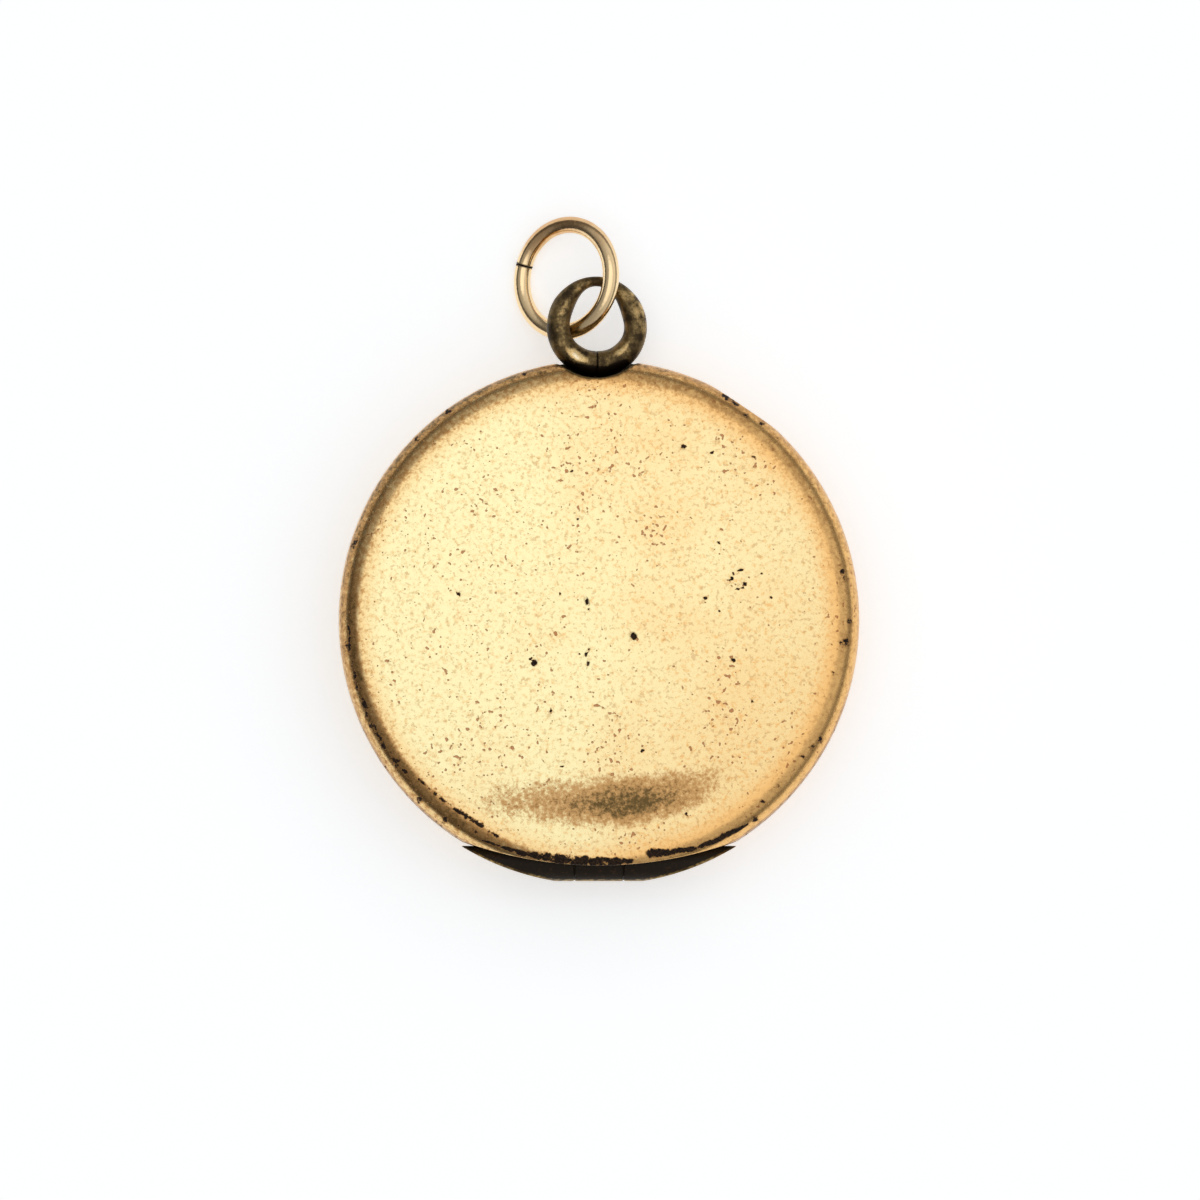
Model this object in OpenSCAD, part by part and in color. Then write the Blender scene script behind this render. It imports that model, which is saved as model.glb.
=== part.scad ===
// Round two-part locket with a knuckle hinge, a soldered bow and a split jump ring.
// It lies on its back: the back's resting flat is at z = 0 with the origin at its middle,
// the hinge runs along X at the -Y edge, and the bow stands out of the +Y edge.

/* [Case] */
// Outside diameter of the closed case
case_d = 25; // [20:0.5:32]
// Thickness of one case half, from its face to the plane where the halves meet
half_t = 2.7; // [2.5:0.05:3.4]
// Radius of the rounded shoulder between the rim and the face
shoulder_r = 1.25; // [0.9:0.05:1.5]
// Radius of each face's gentle dome
dome_r = 100; // [80:5:200]
// Thickness of the gold-filled sheet
sheet_t = 0.35; // [0.25:0.05:0.45]
// Diameter of the flat that the back rests on
rest_d = 9; // [5:0.5:12]
// Depth of the flat worn on the rim where a nail opens the case
wear_depth = 0.14; // [0.05:0.01:0.2]
// Direction of that flat from +X
wear_angle = 56; // [40:1:75]

/* [Rim and snap] */
// Outer radius of the snap lip, as a step in from the inside of the wall
lip_step = 0.65; // [0.5:0.05:0.9]
// Wall of the snap lip
lip_t = 0.3; // [0.2:0.05:0.4]
// Height of the snap lip above the meeting plane
lip_h = 0.45; // [0.3:0.05:0.5]
// Clearance between the snap lip and the groove it closes into
lip_gap = 0.08; // [0.05:0.01:0.12]
// Thickness of the back's land where the halves meet
land_t = 0.4; // [0.3:0.05:0.5]
// Width that both rim rings reach in past the snap lip
land_in = 0.4; // [0.3:0.05:0.5]
// Thickness of the web that closes the front's snap groove
web_t = 0.15; // [0.1:0.05:0.2]

/* [Photo seats] */
// Inside diameter of the pan that holds a picture
pan_d = 19.4; // [15:0.2:20]
// Thickness of the stamped liner
liner_t = 0.2; // [0.15:0.05:0.25]
// Space between the pan's floor and the shell behind it
pan_gap = 0.1; // [0.05:0.05:0.3]
// Thickness of the picture card
card_t = 0.15; // [0.1:0.05:0.2]
// Thickness of the clear disc over the card
crystal_t = 0.25; // [0.2:0.05:0.3]
// Width of the bezel ring that holds the disc down
bezel_w = 0.75; // [0.5:0.05:1]
// Clearance of card, disc and bezel inside the pan
seat_gap = 0.03; // [0.02:0.01:0.08]

/* [Hinge] */
// Distance of the hinge axis in from the rim
hinge_inset = 0.82; // [0.75:0.01:0.95]
// Radius of the knuckle barrel
barrel_r = 0.85; // [0.7:0.01:0.95]
// Radius of the hinge pin
pin_r = 0.35; // [0.2:0.01:0.45]
// Radial clearance of the pin in the turning knuckle
pin_gap = 0.04; // [0.02:0.01:0.08]
// Length of the middle knuckle, seam to seam
centre_len = 2.36; // [1.6:0.02:4]
// Width of each seam between knuckles
seam_w = 0.06; // [0.04:0.01:0.12]
// Length of the hinge slot along the rim
slot_len = 13.2; // [10:0.2:15]
// Distance that the slot's edge reaches past the hinge axis at its middle
lip_over = 0.12; // [0.05:0.01:0.2]
// Distance that the filed barrel stands out past the rim's circle
barrel_proud = 0.2; // [0.1:0.01:0.3]
// Clearance round the barrel where it turns against the other half
turn_gap = 0.06; // [0.04:0.01:0.1]

/* [Bow] */
// Outer radius of the bow
bow_r = 2.44; // [2:0.02:3]
// Distance that the bow's foot reaches in from the rim
bow_foot_in = 0.79; // [0.6:0.01:0.9]
// Sideways offset of the bow
bow_x = -0.1; // [-0.4:0.05:0.4]
// Wire thickness at the bow's foot
bow_foot_t = 1.28; // [1:0.02:1.4]
// Wire thickness at the bow's sides
bow_side_t = 1.12; // [0.9:0.02:1.2]
// Wire thickness at the worn top of the bow
bow_top_t = 0.49; // [0.3:0.01:0.8]
// Twist of the bow about its own upright line
bow_twist = 9; // [0:1:12]
// Clearance between the bow and the notch in the lid
notch_gap = 0.15; // [0.1:0.01:0.25]
// Radius of the notch's rounded corners
notch_fillet = 0.6; // [0.3:0.05:0.9]

/* [Jump ring] */
// Outside diameter of the jump ring
ring_d = 6; // [5:0.1:7]
// Wire diameter of the jump ring
ring_wire = 0.81; // [0.6:0.01:0.9]
// Width of the cut in the jump ring
ring_cut = 0.07; // [0.04:0.01:0.15]
// Lean of the jump ring's plane out of level
ring_lean = 34.4; // [30:0.1:38]
// Turn of the leaning jump ring about the upright
ring_turn = -5; // [-8:0.5:0]

/* [Hidden] */

$fn = 96;
eps = 0.01;
case_r = case_d / 2;
inner_r = case_r - sheet_t;
pan_r = pan_d / 2;
lip_r = inner_r - lip_step;
groove_h = lip_h + 0.1;
front_seat_z = groove_h + web_t;
land_r = lip_r - lip_t - land_in;
// The back's dome runs this far past z = 0 before the resting flat cuts it off.
rest_sag = dome_r - sqrt(dome_r * dome_r - rest_d * rest_d / 4);
back_h = half_t + rest_sag;
front_h = half_t;

hinge_y = hinge_inset - case_r;
outline_r = case_r + barrel_proud;
bearer_x = slot_len / 2 - 0.6;
bearer_y = hinge_y + barrel_r + turn_gap + 0.42;
// The slot's edge is one shallow arc through its middle and its two ends on the rim.
slot_end_y = -sqrt(case_r * case_r - slot_len * slot_len / 4);
slot_sag = slot_end_y - (hinge_y - lip_over);
slot_r = (slot_len * slot_len / 4 + slot_sag * slot_sag) / (2 * slot_sag);
slot_centre_y = hinge_y - lip_over + slot_r;

bow_y = case_r + bow_r - bow_foot_in;
notch_r = bow_r + notch_gap;

ring_r = (ring_d - ring_wire) / 2;
// The jump ring's centre, from the bow's centre, where the ring leans on the bow's top.
ring_offset = [-1.47, bow_r - 0.03, -0.83];
ring_cut_at = 168;

gold = "goldenrod";
pale_gold = "khaki";
dark_brass = "darkolivegreen";
rose_gold = "lightsalmon";

// Where the shoulder's arc starts, up from the meeting plane, for a half of height h.
function rim_h(h) =
  h - dome_r + sqrt(pow(dome_r - shoulder_r, 2) - pow(case_r - shoulder_r, 2));

// Height of the inside of a half of height h at radius r under its dome.
function inside_h(h, r) = h - dome_r + sqrt(pow(dome_r - sheet_t, 2) - r * r);

// Depth of a pan's floor below the meeting plane in a half of height h.
function pan_depth(h) = inside_h(h, pan_r + liner_t) - pan_gap - liner_t;

// Wire thickness of the bow at angle a from its top.
function bow_t(a) =
  cos(a) > 0 ? bow_side_t - (bow_side_t - bow_top_t) * pow(cos(a), 4)
             : bow_side_t + (bow_foot_t - bow_side_t) * pow(cos(a), 2);

// Places a half drawn from the meeting plane upwards.
module front_half() {
  translate([0, 0, half_t]) children();
}

module back_half() {
  translate([0, 0, half_t]) mirror([0, 0, 1]) children();
}

// Solid of revolution of a case half: rim, tangent shoulder and dome, shrunk by t all round.
module half_solid(h, t) {
  dome = dome_r - t;
  sr = shoulder_r - t;
  tangent_x = (case_r - shoulder_r) * dome / (dome - sr);
  rotate_extrude() {
    intersection() {
      square([tangent_x, h - t]);
      translate([0, h - dome_r]) circle(dome, $fn = 720);
    }
    intersection() {
      square([case_r - t, h - t]);
      translate([case_r - shoulder_r, rim_h(h)]) circle(sr);
    }
    square([case_r - t, rim_h(h)]);
  }
}

// Everything within the shallow arc that the hinge slot is cut along.
module inside_slot_arc() {
  translate([0, slot_centre_y, -eps]) cylinder(h = half_t * 2, r = slot_r, $fn = 240);
}

// Bar along the hinge axis from x0 to x1, drawn in a half's own place.
module hinge_bar(r, x0, x1) {
  translate([x0, hinge_y, 0]) rotate([0, 90, 0]) cylinder(h = x1 - x0, r = r);
}

// Room for the barrel to turn, a little past both ends of the slot.
module turning_space() {
  hinge_bar(barrel_r + turn_gap, -slot_len / 2 - turn_gap, slot_len / 2 + turn_gap);
}

// The two pieces of plan that round the corners where the notch opens through the rim.
module notch_corners() {
  ro = case_r - notch_fillet;
  rn = notch_r + notch_fillet;
  // The corner circle touches the rim's circle from inside and the notch's from outside.
  cy = (ro * ro - rn * rn + bow_y * bow_y) / (2 * bow_y);
  cx = sqrt(ro * ro - cy * cy);
  rim_point = [cx, cy] * case_r / ro;
  notch_point = [cx, cy] + [-cx, bow_y - cy] * notch_fillet / rn;
  for (side = [0, 1]) mirror([side, 0]) difference() {
    polygon([[cx, cy], rim_point, rim_point * 1.1, [0, bow_y], notch_point]);
    translate([cx, cy]) circle(notch_fillet);
  }
}

// The notch through both halves round the bow's foot, grown by g to leave a wall.
module notch(g) {
  translate([bow_x, 0, -eps]) linear_extrude(half_t * 2) {
    translate([0, bow_y]) circle(notch_r + g);
    if (g == 0) notch_corners();
  }
}

// Half space past the worn flat on the rim.
module past_wear_flat() {
  rotate([0, 0, wear_angle])
    translate([case_r - wear_depth, -case_r, -eps]) cube([case_r, case_d, half_t * 2]);
}

// Shell of one case half, open at the meeting plane.
module shell(h) {
  difference() {
    intersection() {
      half_solid(h, 0);
      inside_slot_arc();
    }
    difference() {
      translate([0, 0, -eps]) half_solid(h + eps, sheet_t);
      notch(sheet_t);
    }
    notch(0);
    turning_space();
    past_wear_flat();
  }
}

// Room inside a shell, less the wall round the notch and what the hinge takes.
module fitted_inside(h) {
  difference() {
    intersection() {
      half_solid(h, sheet_t);
      children();
    }
    notch(sheet_t);
    bearer_space();
    turning_space();
  }
}

module bearer_space() {
  translate([-bearer_x, -case_r, -eps]) cube([2 * bearer_x, bearer_y + case_r, half_t * 2]);
}

// Strip that backs the barrel: own knuckles are soldered to it and the others clear it.
module bearer(h, own_is_centre) {
  seam = centre_len / 2;
  r_mid = own_is_centre ? barrel_r : barrel_r + turn_gap;
  r_side = own_is_centre ? barrel_r + turn_gap : barrel_r;
  difference() {
    intersection() {
      half_solid(h, sheet_t);
      bearer_space();
      inside_slot_arc();
      cylinder(h = half_t * 2, r = case_r);
    }
    hinge_bar(r_mid, -seam, seam);
    hinge_bar(r_side, -slot_len / 2, -seam);
    hinge_bar(r_side, seam, slot_len / 2);
  }
}

// Stamped liner: a flange at flange_z and a pan with a flat floor.
module liner(h, flange_z) {
  depth = pan_depth(h);
  fitted_inside(h) rotate_extrude() {
    translate([pan_r, flange_z]) square([inner_r - pan_r, liner_t]);
    translate([pan_r, flange_z]) square([liner_t, depth + liner_t - flange_z]);
    translate([0, depth]) square([pan_r + liner_t, liner_t]);
  }
}

module disc_in_pan(z, t) {
  translate([0, 0, z]) cylinder(h = t, r = pan_r - seat_gap);
}

// Bezel ring with a sloping inner face, from the clear disc up to the liner's flange.
module bezel(h, flange_z) {
  foot_z = pan_depth(h) - card_t - crystal_t;
  outer = pan_r - seat_gap;
  rotate_extrude() polygon([
    [outer, foot_z], [outer, flange_z], [outer - bezel_w * 0.55, flange_z],
    [outer - bezel_w, foot_z - 0.1], [outer - bezel_w, foot_z]
  ]);
}

// A barrel piece from x0 to x1, filed round to follow the case.
module knuckle(x0, x1, bore) {
  translate([0, 0, half_t]) intersection() {
    difference() {
      hinge_bar(barrel_r, x0, x1);
      hinge_bar(bore, x0 - 1, x1 + 1);
    }
    translate([0, 0, -barrel_r * 2]) cylinder(h = barrel_r * 4, r = outline_r, $fn = 240);
  }
}

module back_shell() {
  color(gold) back_half() difference() {
    shell(back_h);
    translate([0, 0, half_t]) cylinder(h = rest_sag + 1, r = case_r);
  }
}

module back_snap_rim() {
  color(pale_gold) difference() {
    union() {
      back_half() fitted_inside(back_h) rotate_extrude()
        translate([land_r, 0]) square([inner_r - land_r, land_t]);
      translate([0, 0, half_t]) difference() {
        rotate_extrude() translate([lip_r - lip_t, -eps]) square([lip_t, lip_h + eps]);
        translate([-slot_len / 2 - 0.6, -case_d, -1]) cube([slot_len + 1.2, case_d, half_t]);
      }
    }
    translate([0, 0, half_t]) notch(sheet_t + lip_gap * 2);
  }
}

module back_liner() {
  color(pale_gold) back_half() liner(back_h, land_t);
}

module back_photo_card() {
  color("antiquewhite") back_half() disc_in_pan(pan_depth(back_h) - card_t, card_t);
}

module back_crystal() {
  color("azure", 0.4) back_half()
    disc_in_pan(pan_depth(back_h) - card_t - crystal_t, crystal_t);
}

module back_bezel() {
  color(gold) back_half() bezel(back_h, land_t);
}

module back_hinge_bearer() {
  color(pale_gold) back_half() bearer(back_h, false);
}

module left_knuckle() {
  color(gold) knuckle(-slot_len / 2, -centre_len / 2 - seam_w / 2, pin_r);
}

module right_knuckle() {
  color(gold) knuckle(centre_len / 2 + seam_w / 2, slot_len / 2, pin_r);
}

module centre_knuckle() {
  color(gold) knuckle(-centre_len / 2 + seam_w / 2, centre_len / 2 - seam_w / 2, pin_r + pin_gap);
}

module hinge_pin() {
  color("silver") translate([0, 0, half_t]) intersection() {
    hinge_bar(pin_r, -slot_len / 2, slot_len / 2);
    translate([0, 0, -pin_r * 2]) cylinder(h = pin_r * 4, r = outline_r, $fn = 240);
  }
}

// Round wire of changing thickness bent to a circle, thinnest at the top where it has worn.
module bow_loop() {
  steps = 48;
  sides = 16;
  points = [
    for (i = [0 : steps - 1]) let (a = i * 360 / steps, w = bow_t(a) / 2)
      for (j = [0 : sides - 1]) let (b = j * 360 / sides, r = bow_r - w + w * cos(b))
        [r * sin(a), r * cos(a), w * sin(b)]
  ];
  faces = [
    for (i = [0 : steps - 1]) for (j = [0 : sides - 1])
      let (i2 = (i + 1) % steps, j2 = (j + 1) % sides)
        [i * sides + j, i2 * sides + j, i2 * sides + j2, i * sides + j2]
  ];
  translate([bow_x, bow_y, half_t]) rotate([0, bow_twist, 0]) polyhedron(points, faces);
}

module bow() {
  color(dark_brass) bow_loop();
}

// Solder that fills the back's notch under the bow's foot.
module bow_solder_seat() {
  color("gray") difference() {
    intersection() {
      translate([bow_x, bow_y, half_t - bow_foot_t]) cylinder(h = bow_foot_t, r = notch_r);
      cylinder(h = half_t, r = case_r - sheet_t / 2);
    }
    bow_loop();
  }
}

module front_shell() {
  color(gold) front_half() shell(front_h);
}

module front_rim_ring() {
  color(pale_gold) front_half() fitted_inside(front_h) rotate_extrude() {
    translate([lip_r + lip_gap, 0]) square([inner_r - lip_r - lip_gap, front_seat_z]);
    translate([land_r, groove_h]) square([inner_r - land_r, web_t]);
  }
}

module front_liner() {
  color(pale_gold) front_half() liner(front_h, front_seat_z);
}

module front_photo_card() {
  color("antiquewhite") front_half() disc_in_pan(pan_depth(front_h) - card_t, card_t);
}

module front_crystal() {
  color("azure", 0.4) front_half()
    disc_in_pan(pan_depth(front_h) - card_t - crystal_t, crystal_t);
}

module front_bezel() {
  color(gold) front_half() bezel(front_h, front_seat_z);
}

module front_hinge_bearer() {
  color(pale_gold) front_half() bearer(front_h, true);
}

module jump_ring() {
  cut_angle = ring_cut / ring_r * 180 / PI;
  color(rose_gold)
    translate([bow_x, bow_y, half_t] + ring_offset)
    rotate([0, -ring_lean, ring_turn])
    rotate([0, 0, ring_cut_at + cut_angle / 2])
    rotate_extrude(angle = 360 - cut_angle) translate([ring_r, 0]) circle(ring_wire / 2);
}

back_shell();
back_snap_rim();
back_liner();
back_photo_card();
back_crystal();
back_bezel();
back_hinge_bearer();
left_knuckle();
right_knuckle();
hinge_pin();
bow();
bow_solder_seat();
front_shell();
front_rim_ring();
front_liner();
front_photo_card();
front_crystal();
front_bezel();
front_hinge_bearer();
centre_knuckle();
jump_ring();
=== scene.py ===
"""Looks of a round gold-filled locket with a soldered bow and a split jump ring.

Lengths are in millimetres until a mesh is made, which turns them into metres. The locket lies on
its back: z = 0 is the back's resting flat, the hinge is at the -Y edge and the bow at the +Y edge.
"""

import math

import bpy
import numpy as np
from mathutils import Matrix, Vector, noise


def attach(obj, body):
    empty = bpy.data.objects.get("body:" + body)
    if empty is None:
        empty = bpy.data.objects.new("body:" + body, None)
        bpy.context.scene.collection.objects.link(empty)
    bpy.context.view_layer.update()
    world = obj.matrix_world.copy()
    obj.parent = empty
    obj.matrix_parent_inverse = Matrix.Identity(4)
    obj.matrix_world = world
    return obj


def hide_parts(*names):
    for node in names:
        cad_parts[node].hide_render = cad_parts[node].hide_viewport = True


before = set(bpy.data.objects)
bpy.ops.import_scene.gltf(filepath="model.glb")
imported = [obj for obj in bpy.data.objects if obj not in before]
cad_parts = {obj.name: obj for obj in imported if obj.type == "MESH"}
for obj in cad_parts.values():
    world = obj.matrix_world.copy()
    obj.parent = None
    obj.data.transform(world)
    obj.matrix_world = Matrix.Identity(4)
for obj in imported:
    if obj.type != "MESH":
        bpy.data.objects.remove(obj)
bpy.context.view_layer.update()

MM = 0.001
PER_MM = 1000.0

# ---------------------------------------------------------------- sizes, as in the design
CASE_R = 12.5
SPLIT_Z = 2.7
SHEET = 0.35
SHOULDER_R = 1.25
DOME_R = 100.0
REST_D = 9.0
WEAR_FLAT_R = CASE_R - 0.14
WEAR_ANGLE = math.radians(56)
INNER_R = CASE_R - SHEET

HINGE_Y = 0.82 - CASE_R
BARREL_R = 0.85
TURN_GAP = 0.06
OUTLINE_R = CASE_R + 0.2
SLOT_HALF = 6.6
SLOT_MIDDLE_Y = HINGE_Y - 0.12
BEARER_X = SLOT_HALF - 0.6
BEARER_Y = HINGE_Y + BARREL_R + TURN_GAP + 0.42
CENTRE_HALF = 1.18
SEAM_HALF = 0.03
PIN_R = 0.35
PIN_GAP = 0.04

BOW_R = 2.44
BOW_CENTRE = (-0.1, CASE_R + BOW_R - 0.79)
BOW_FOOT_T = 1.28
BOW_SIDE_T = 1.12
BOW_TOP_T = 0.49
BOW_TWIST = math.radians(9)
NOTCH_R = BOW_R + 0.15
NOTCH_FILLET = 0.6

LIP_R = INNER_R - 0.65
LIP_T = 0.3
LIP_H = 0.45
LIP_GAP = 0.08
LAND_T = 0.4
LAND_R = LIP_R - LIP_T - 0.4
WEB_T = 0.15
GROOVE_ROOM = 0.1
FRONT_SEAT = LIP_H + GROOVE_ROOM + WEB_T

PAN_R = 9.7
LINER_T = 0.2
PAN_GAP = 0.1
CARD_T = 0.15
CRYSTAL_T = 0.25
BEZEL_W = 0.75
BEZEL_FLAT = 0.55
SEAT_GAP = 0.03

RING_D = 6.0
RING_WIRE = 0.81
RING_CUT = 0.07
RING_CUT_AT = math.radians(168)
RING_LEAN = math.radians(34.4)
RING_TURN = math.radians(-5)
RING_OFFSET = (-1.47, BOW_R - 0.03, -0.83)

REST_SAG = DOME_R - math.sqrt(DOME_R ** 2 - REST_D ** 2 / 4)
FRONT_H = SPLIT_Z
BACK_H = SPLIT_Z + REST_SAG

# How finely the case is drawn, and the small sizes that only the drawn shape has.
CASE_SIDES = 720
FACE_STEPS = 88
TURN_STEPS = 24
FACE_START = 0.14
AXIS_GAP = 0.3
EDGE_EASE = 0.07
FOOT_EASE = 0.04
LEAST_WALL = 0.06
THINNEST = 0.03
LEAST_RIM = 0.02
FITTED_GAP = 0.01
HAIR = 0.004


# ---------------------------------------------------------------- plan outlines
def smoothstep(x, low, high):
    """0 below low, 1 above high and a soft step between."""
    t = np.clip((np.asarray(x, float) - low) / (high - low), 0, 1)
    return t * t * (3 - 2 * t)


def ray_to_circle(theta, centre, radius, far):
    """Distance from the case's centre, in direction theta, to a circle; infinite where it misses."""
    along = centre[0] * np.cos(theta) + centre[1] * np.sin(theta)
    inside = radius ** 2 - (centre[0] ** 2 + centre[1] ** 2 - along ** 2)
    reach = np.sqrt(np.maximum(inside, 0))
    distance = along + reach if far else along - reach
    return np.where((inside > 0) & (distance > 0), distance, np.inf)


def slot_arc():
    """Centre and radius of the shallow arc that the hinge slot follows."""
    end_y = -math.sqrt(CASE_R ** 2 - SLOT_HALF ** 2)
    sag = end_y - SLOT_MIDDLE_Y
    radius = (SLOT_HALF ** 2 + sag ** 2) / (2 * sag)
    return (0.0, SLOT_MIDDLE_Y + radius), radius


def notch_corner(side):
    """Centre of the circle that rounds one corner of the notch, and the directions that it spans."""
    bow = np.array(BOW_CENTRE)
    reach, near = CASE_R - NOTCH_FILLET, NOTCH_R + NOTCH_FILLET
    far = float(np.hypot(*bow))
    along = (reach ** 2 - near ** 2 + far ** 2) / (2 * far)
    across = math.sqrt(reach ** 2 - along ** 2)
    unit = bow / far
    centre = unit * along + np.array([unit[1], -unit[0]]) * across * side
    touch = centre + (bow - centre) / near * NOTCH_FILLET
    angles = sorted([math.atan2(centre[1], centre[0]), math.atan2(touch[1], touch[0])])
    return centre, angles


def outer_outline(theta):
    """Plan radius of the case's edge: rim, hinge slot, bow notch and the flat a nail has worn."""
    centre, radius = slot_arc()
    edge = np.full_like(theta, CASE_R)
    edge = np.minimum(edge, ray_to_circle(theta, centre, radius, True))
    notch = ray_to_circle(theta, BOW_CENTRE, NOTCH_R, False)
    edge = np.minimum(edge, notch)
    for side in (-1, 1):
        corner, (start, end) = notch_corner(side)
        turned = np.arctan2(np.sin(theta), np.cos(theta))
        spans = (turned > start) & (turned < end)
        edge = np.where(spans, ray_to_circle(theta, corner, NOTCH_FILLET, True), edge)
    facing = np.cos(theta - WEAR_ANGLE)
    worn = WEAR_FLAT_R / np.maximum(facing, 0.5)
    blend = 0.02
    eased_in = -blend * np.log(np.exp(-edge / blend) + np.exp(-worn / blend))
    return np.where(facing > 0.9, eased_in, edge)


def inner_outline(theta):
    """Plan radius of the inside of the wall, which follows the notch."""
    return np.minimum(INNER_R, ray_to_circle(theta, BOW_CENTRE, NOTCH_R + SHEET, False))


def seat_outline(theta):
    """Plan radius of what is fitted inside, which also stops at the hinge bearer."""
    edge = inner_outline(theta)
    down = np.maximum(-np.sin(theta), 1e-6)
    bearer = -BEARER_Y / down
    hits = (np.sin(theta) < 0) & (np.abs(bearer * np.cos(theta)) < BEARER_X)
    return np.where(hits, np.minimum(edge, bearer), edge)


def directions(count, zones=()):
    """Directions round the case, closer together inside each (middle, half width, count) zone."""
    turns = [np.linspace(0, 2 * math.pi, count, endpoint=False)]
    for middle, half, extra in zones:
        turns.append(np.mod(np.linspace(middle - half, middle + half, extra), 2 * math.pi))
    return np.unique(np.round(np.concatenate(turns), 7))


BOW_DIRECTION = math.radians(90.4)
NOTCH_SPAN = math.radians(14)
SLOT_END = math.atan2(math.sqrt(CASE_R ** 2 - SLOT_HALF ** 2), SLOT_HALF)
CASE_ZONES = (
    (BOW_DIRECTION, NOTCH_SPAN, 50),
    (-SLOT_END, math.radians(9), 30),
    (SLOT_END - math.pi, math.radians(9), 30),
)


# ---------------------------------------------------------------- heights of a case half
def rim_height(half_h):
    """Height above the split of the centre that the shoulder's curve turns about."""
    return half_h - DOME_R + math.sqrt((DOME_R - SHOULDER_R) ** 2 - (CASE_R - SHOULDER_R) ** 2)


def surface_height(radius, half_h, inset, cap):
    """Height above the split of the dome and shoulder, inset by a sheet's thickness."""
    dome = DOME_R - inset
    turn = SHOULDER_R - inset
    middle = CASE_R - SHOULDER_R
    tangent = middle * dome / (dome - turn)
    over_dome = half_h - DOME_R + np.sqrt(dome ** 2 - np.minimum(radius, tangent) ** 2)
    reach = np.clip(radius - middle, 0, turn)
    over_turn = rim_height(half_h) + np.sqrt(np.maximum(turn ** 2 - reach ** 2, 0))
    return np.minimum(np.where(radius < tangent, over_dome, over_turn), cap)


def softened(first, corner, last, steps):
    """Points along the small curve that rounds a corner."""
    t = np.linspace(0, 1, steps)[:, None]
    return (1 - t) ** 2 * first + 2 * t * (1 - t) * corner + t ** 2 * last


def rounded_corner(before, corner, after, radius, steps):
    """One rounded corner, which keeps to the near part of both of its sides."""
    to_before, to_after = before - corner, after - corner
    most = 0.45
    reach = min(radius, most * np.hypot(*to_before), most * np.hypot(*to_after))
    first = corner + to_before / np.hypot(*to_before) * reach
    last = corner + to_after / np.hypot(*to_after) * reach
    return softened(first, corner, last, steps)


def rounded_loop(points, radii, steps=4):
    """Closed section with each corner rounded by its own radius."""
    points = np.asarray(points, float)
    out = []
    for i, corner in enumerate(points):
        after = points[(i + 1) % len(points)]
        out.append(rounded_corner(points[i - 1], corner, after, radii[i], steps))
    return np.concatenate(out)


def rounded_path(points, radii, steps=4):
    """Open section with each corner between its ends rounded by its own radius."""
    points = np.asarray(points, float)
    out = [points[:1]]
    for before, corner, after, radius in zip(points, points[1:], points[2:], radii):
        out.append(rounded_corner(before, corner, after, radius, steps))
    out.append(points[-1:])
    return np.concatenate(out)


# ---------------------------------------------------------------- mesh making
def signed_volume(points, faces):
    """Volume inside a closed mesh; below zero where its faces point in."""
    total = 0.0
    for face in faces:
        a = points[face[0]]
        for second, third in zip(face[1:-1], face[2:]):
            total += np.dot(a, np.cross(points[second], points[third]))
    return total / 6


def mesh_from(name, points, faces, sharp=40):
    """Closed smooth-shaded mesh in metres, with its faces pointing out."""
    points = np.asarray(points, float)
    if signed_volume(points, faces) < 0:
        faces = [face[::-1] for face in faces]
    mesh = bpy.data.meshes.new(name)
    mesh.from_pydata((points * MM).tolist(), [], faces)
    mesh.validate()
    mesh.shade_smooth()
    mesh.set_sharp_from_angle(angle=math.radians(sharp))
    return mesh


def grid_faces(columns, rows, wrap_columns, wrap_rows):
    """Four-sided faces between neighbouring columns of points, closed round where asked."""
    faces = []
    for i in range(columns if wrap_columns else columns - 1):
        a, b = i * rows, (i + 1) % columns * rows
        for j in range(rows if wrap_rows else rows - 1):
            k = (j + 1) % rows
            faces.append((a + j, b + j, b + k, a + k))
    return faces


def turned_points(theta, sections):
    """3-D points of one (radius, height) section per direction, column after column."""
    cos, sin = np.cos(theta)[:, None], np.sin(theta)[:, None]
    radius, height = sections[:, :, 0], sections[:, :, 1]
    return np.stack([radius * cos, radius * sin, height], axis=-1).reshape(-1, 3)


def turned_shell(theta, sections, top_z, under_z):
    """Bowl whose two faces both run in to the axis, at top_z outside and under_z inside."""
    columns, rows = sections.shape[:2]
    points = turned_points(theta, sections)
    faces = grid_faces(columns, rows, True, False)
    top, under = len(points), len(points) + 1
    points = np.vstack([points, [0, 0, top_z], [0, 0, under_z]])
    for i in range(columns):
        a, b = i * rows, (i + 1) % columns * rows
        faces.append((top, b, a))
        faces.append((under, a + rows - 1, b + rows - 1))
    return points, faces


def turned_ring(theta, sections, whole):
    """Ring with a closed section; where it isn't whole, both ends are capped."""
    columns, rows = sections.shape[:2]
    points = turned_points(theta, sections)
    faces = grid_faces(columns, rows, whole, True)
    if not whole:
        faces.append(tuple(range(rows)))
        faces.append(tuple(reversed(range((columns - 1) * rows, columns * rows))))
    return points, faces


def paint(mesh, name, values):
    """Keeps a mask on the mesh for its material to read: wear, stain, dirt and painted shade."""
    layer = mesh.attributes.new(name, "FLOAT", "POINT")
    layer.data.foreach_set("value", np.asarray(values, np.float32))


def place(name, mesh, material, body, nodes, slot):
    """Makes a finished piece of the locket stand for its node and ride on its body."""
    piece = bpy.data.objects.new(name, mesh)
    bpy.context.scene.collection.objects.link(piece)
    if not mesh.materials:
        mesh.materials.append(material)
    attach(piece, body)
    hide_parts(*nodes)
    return piece


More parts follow.
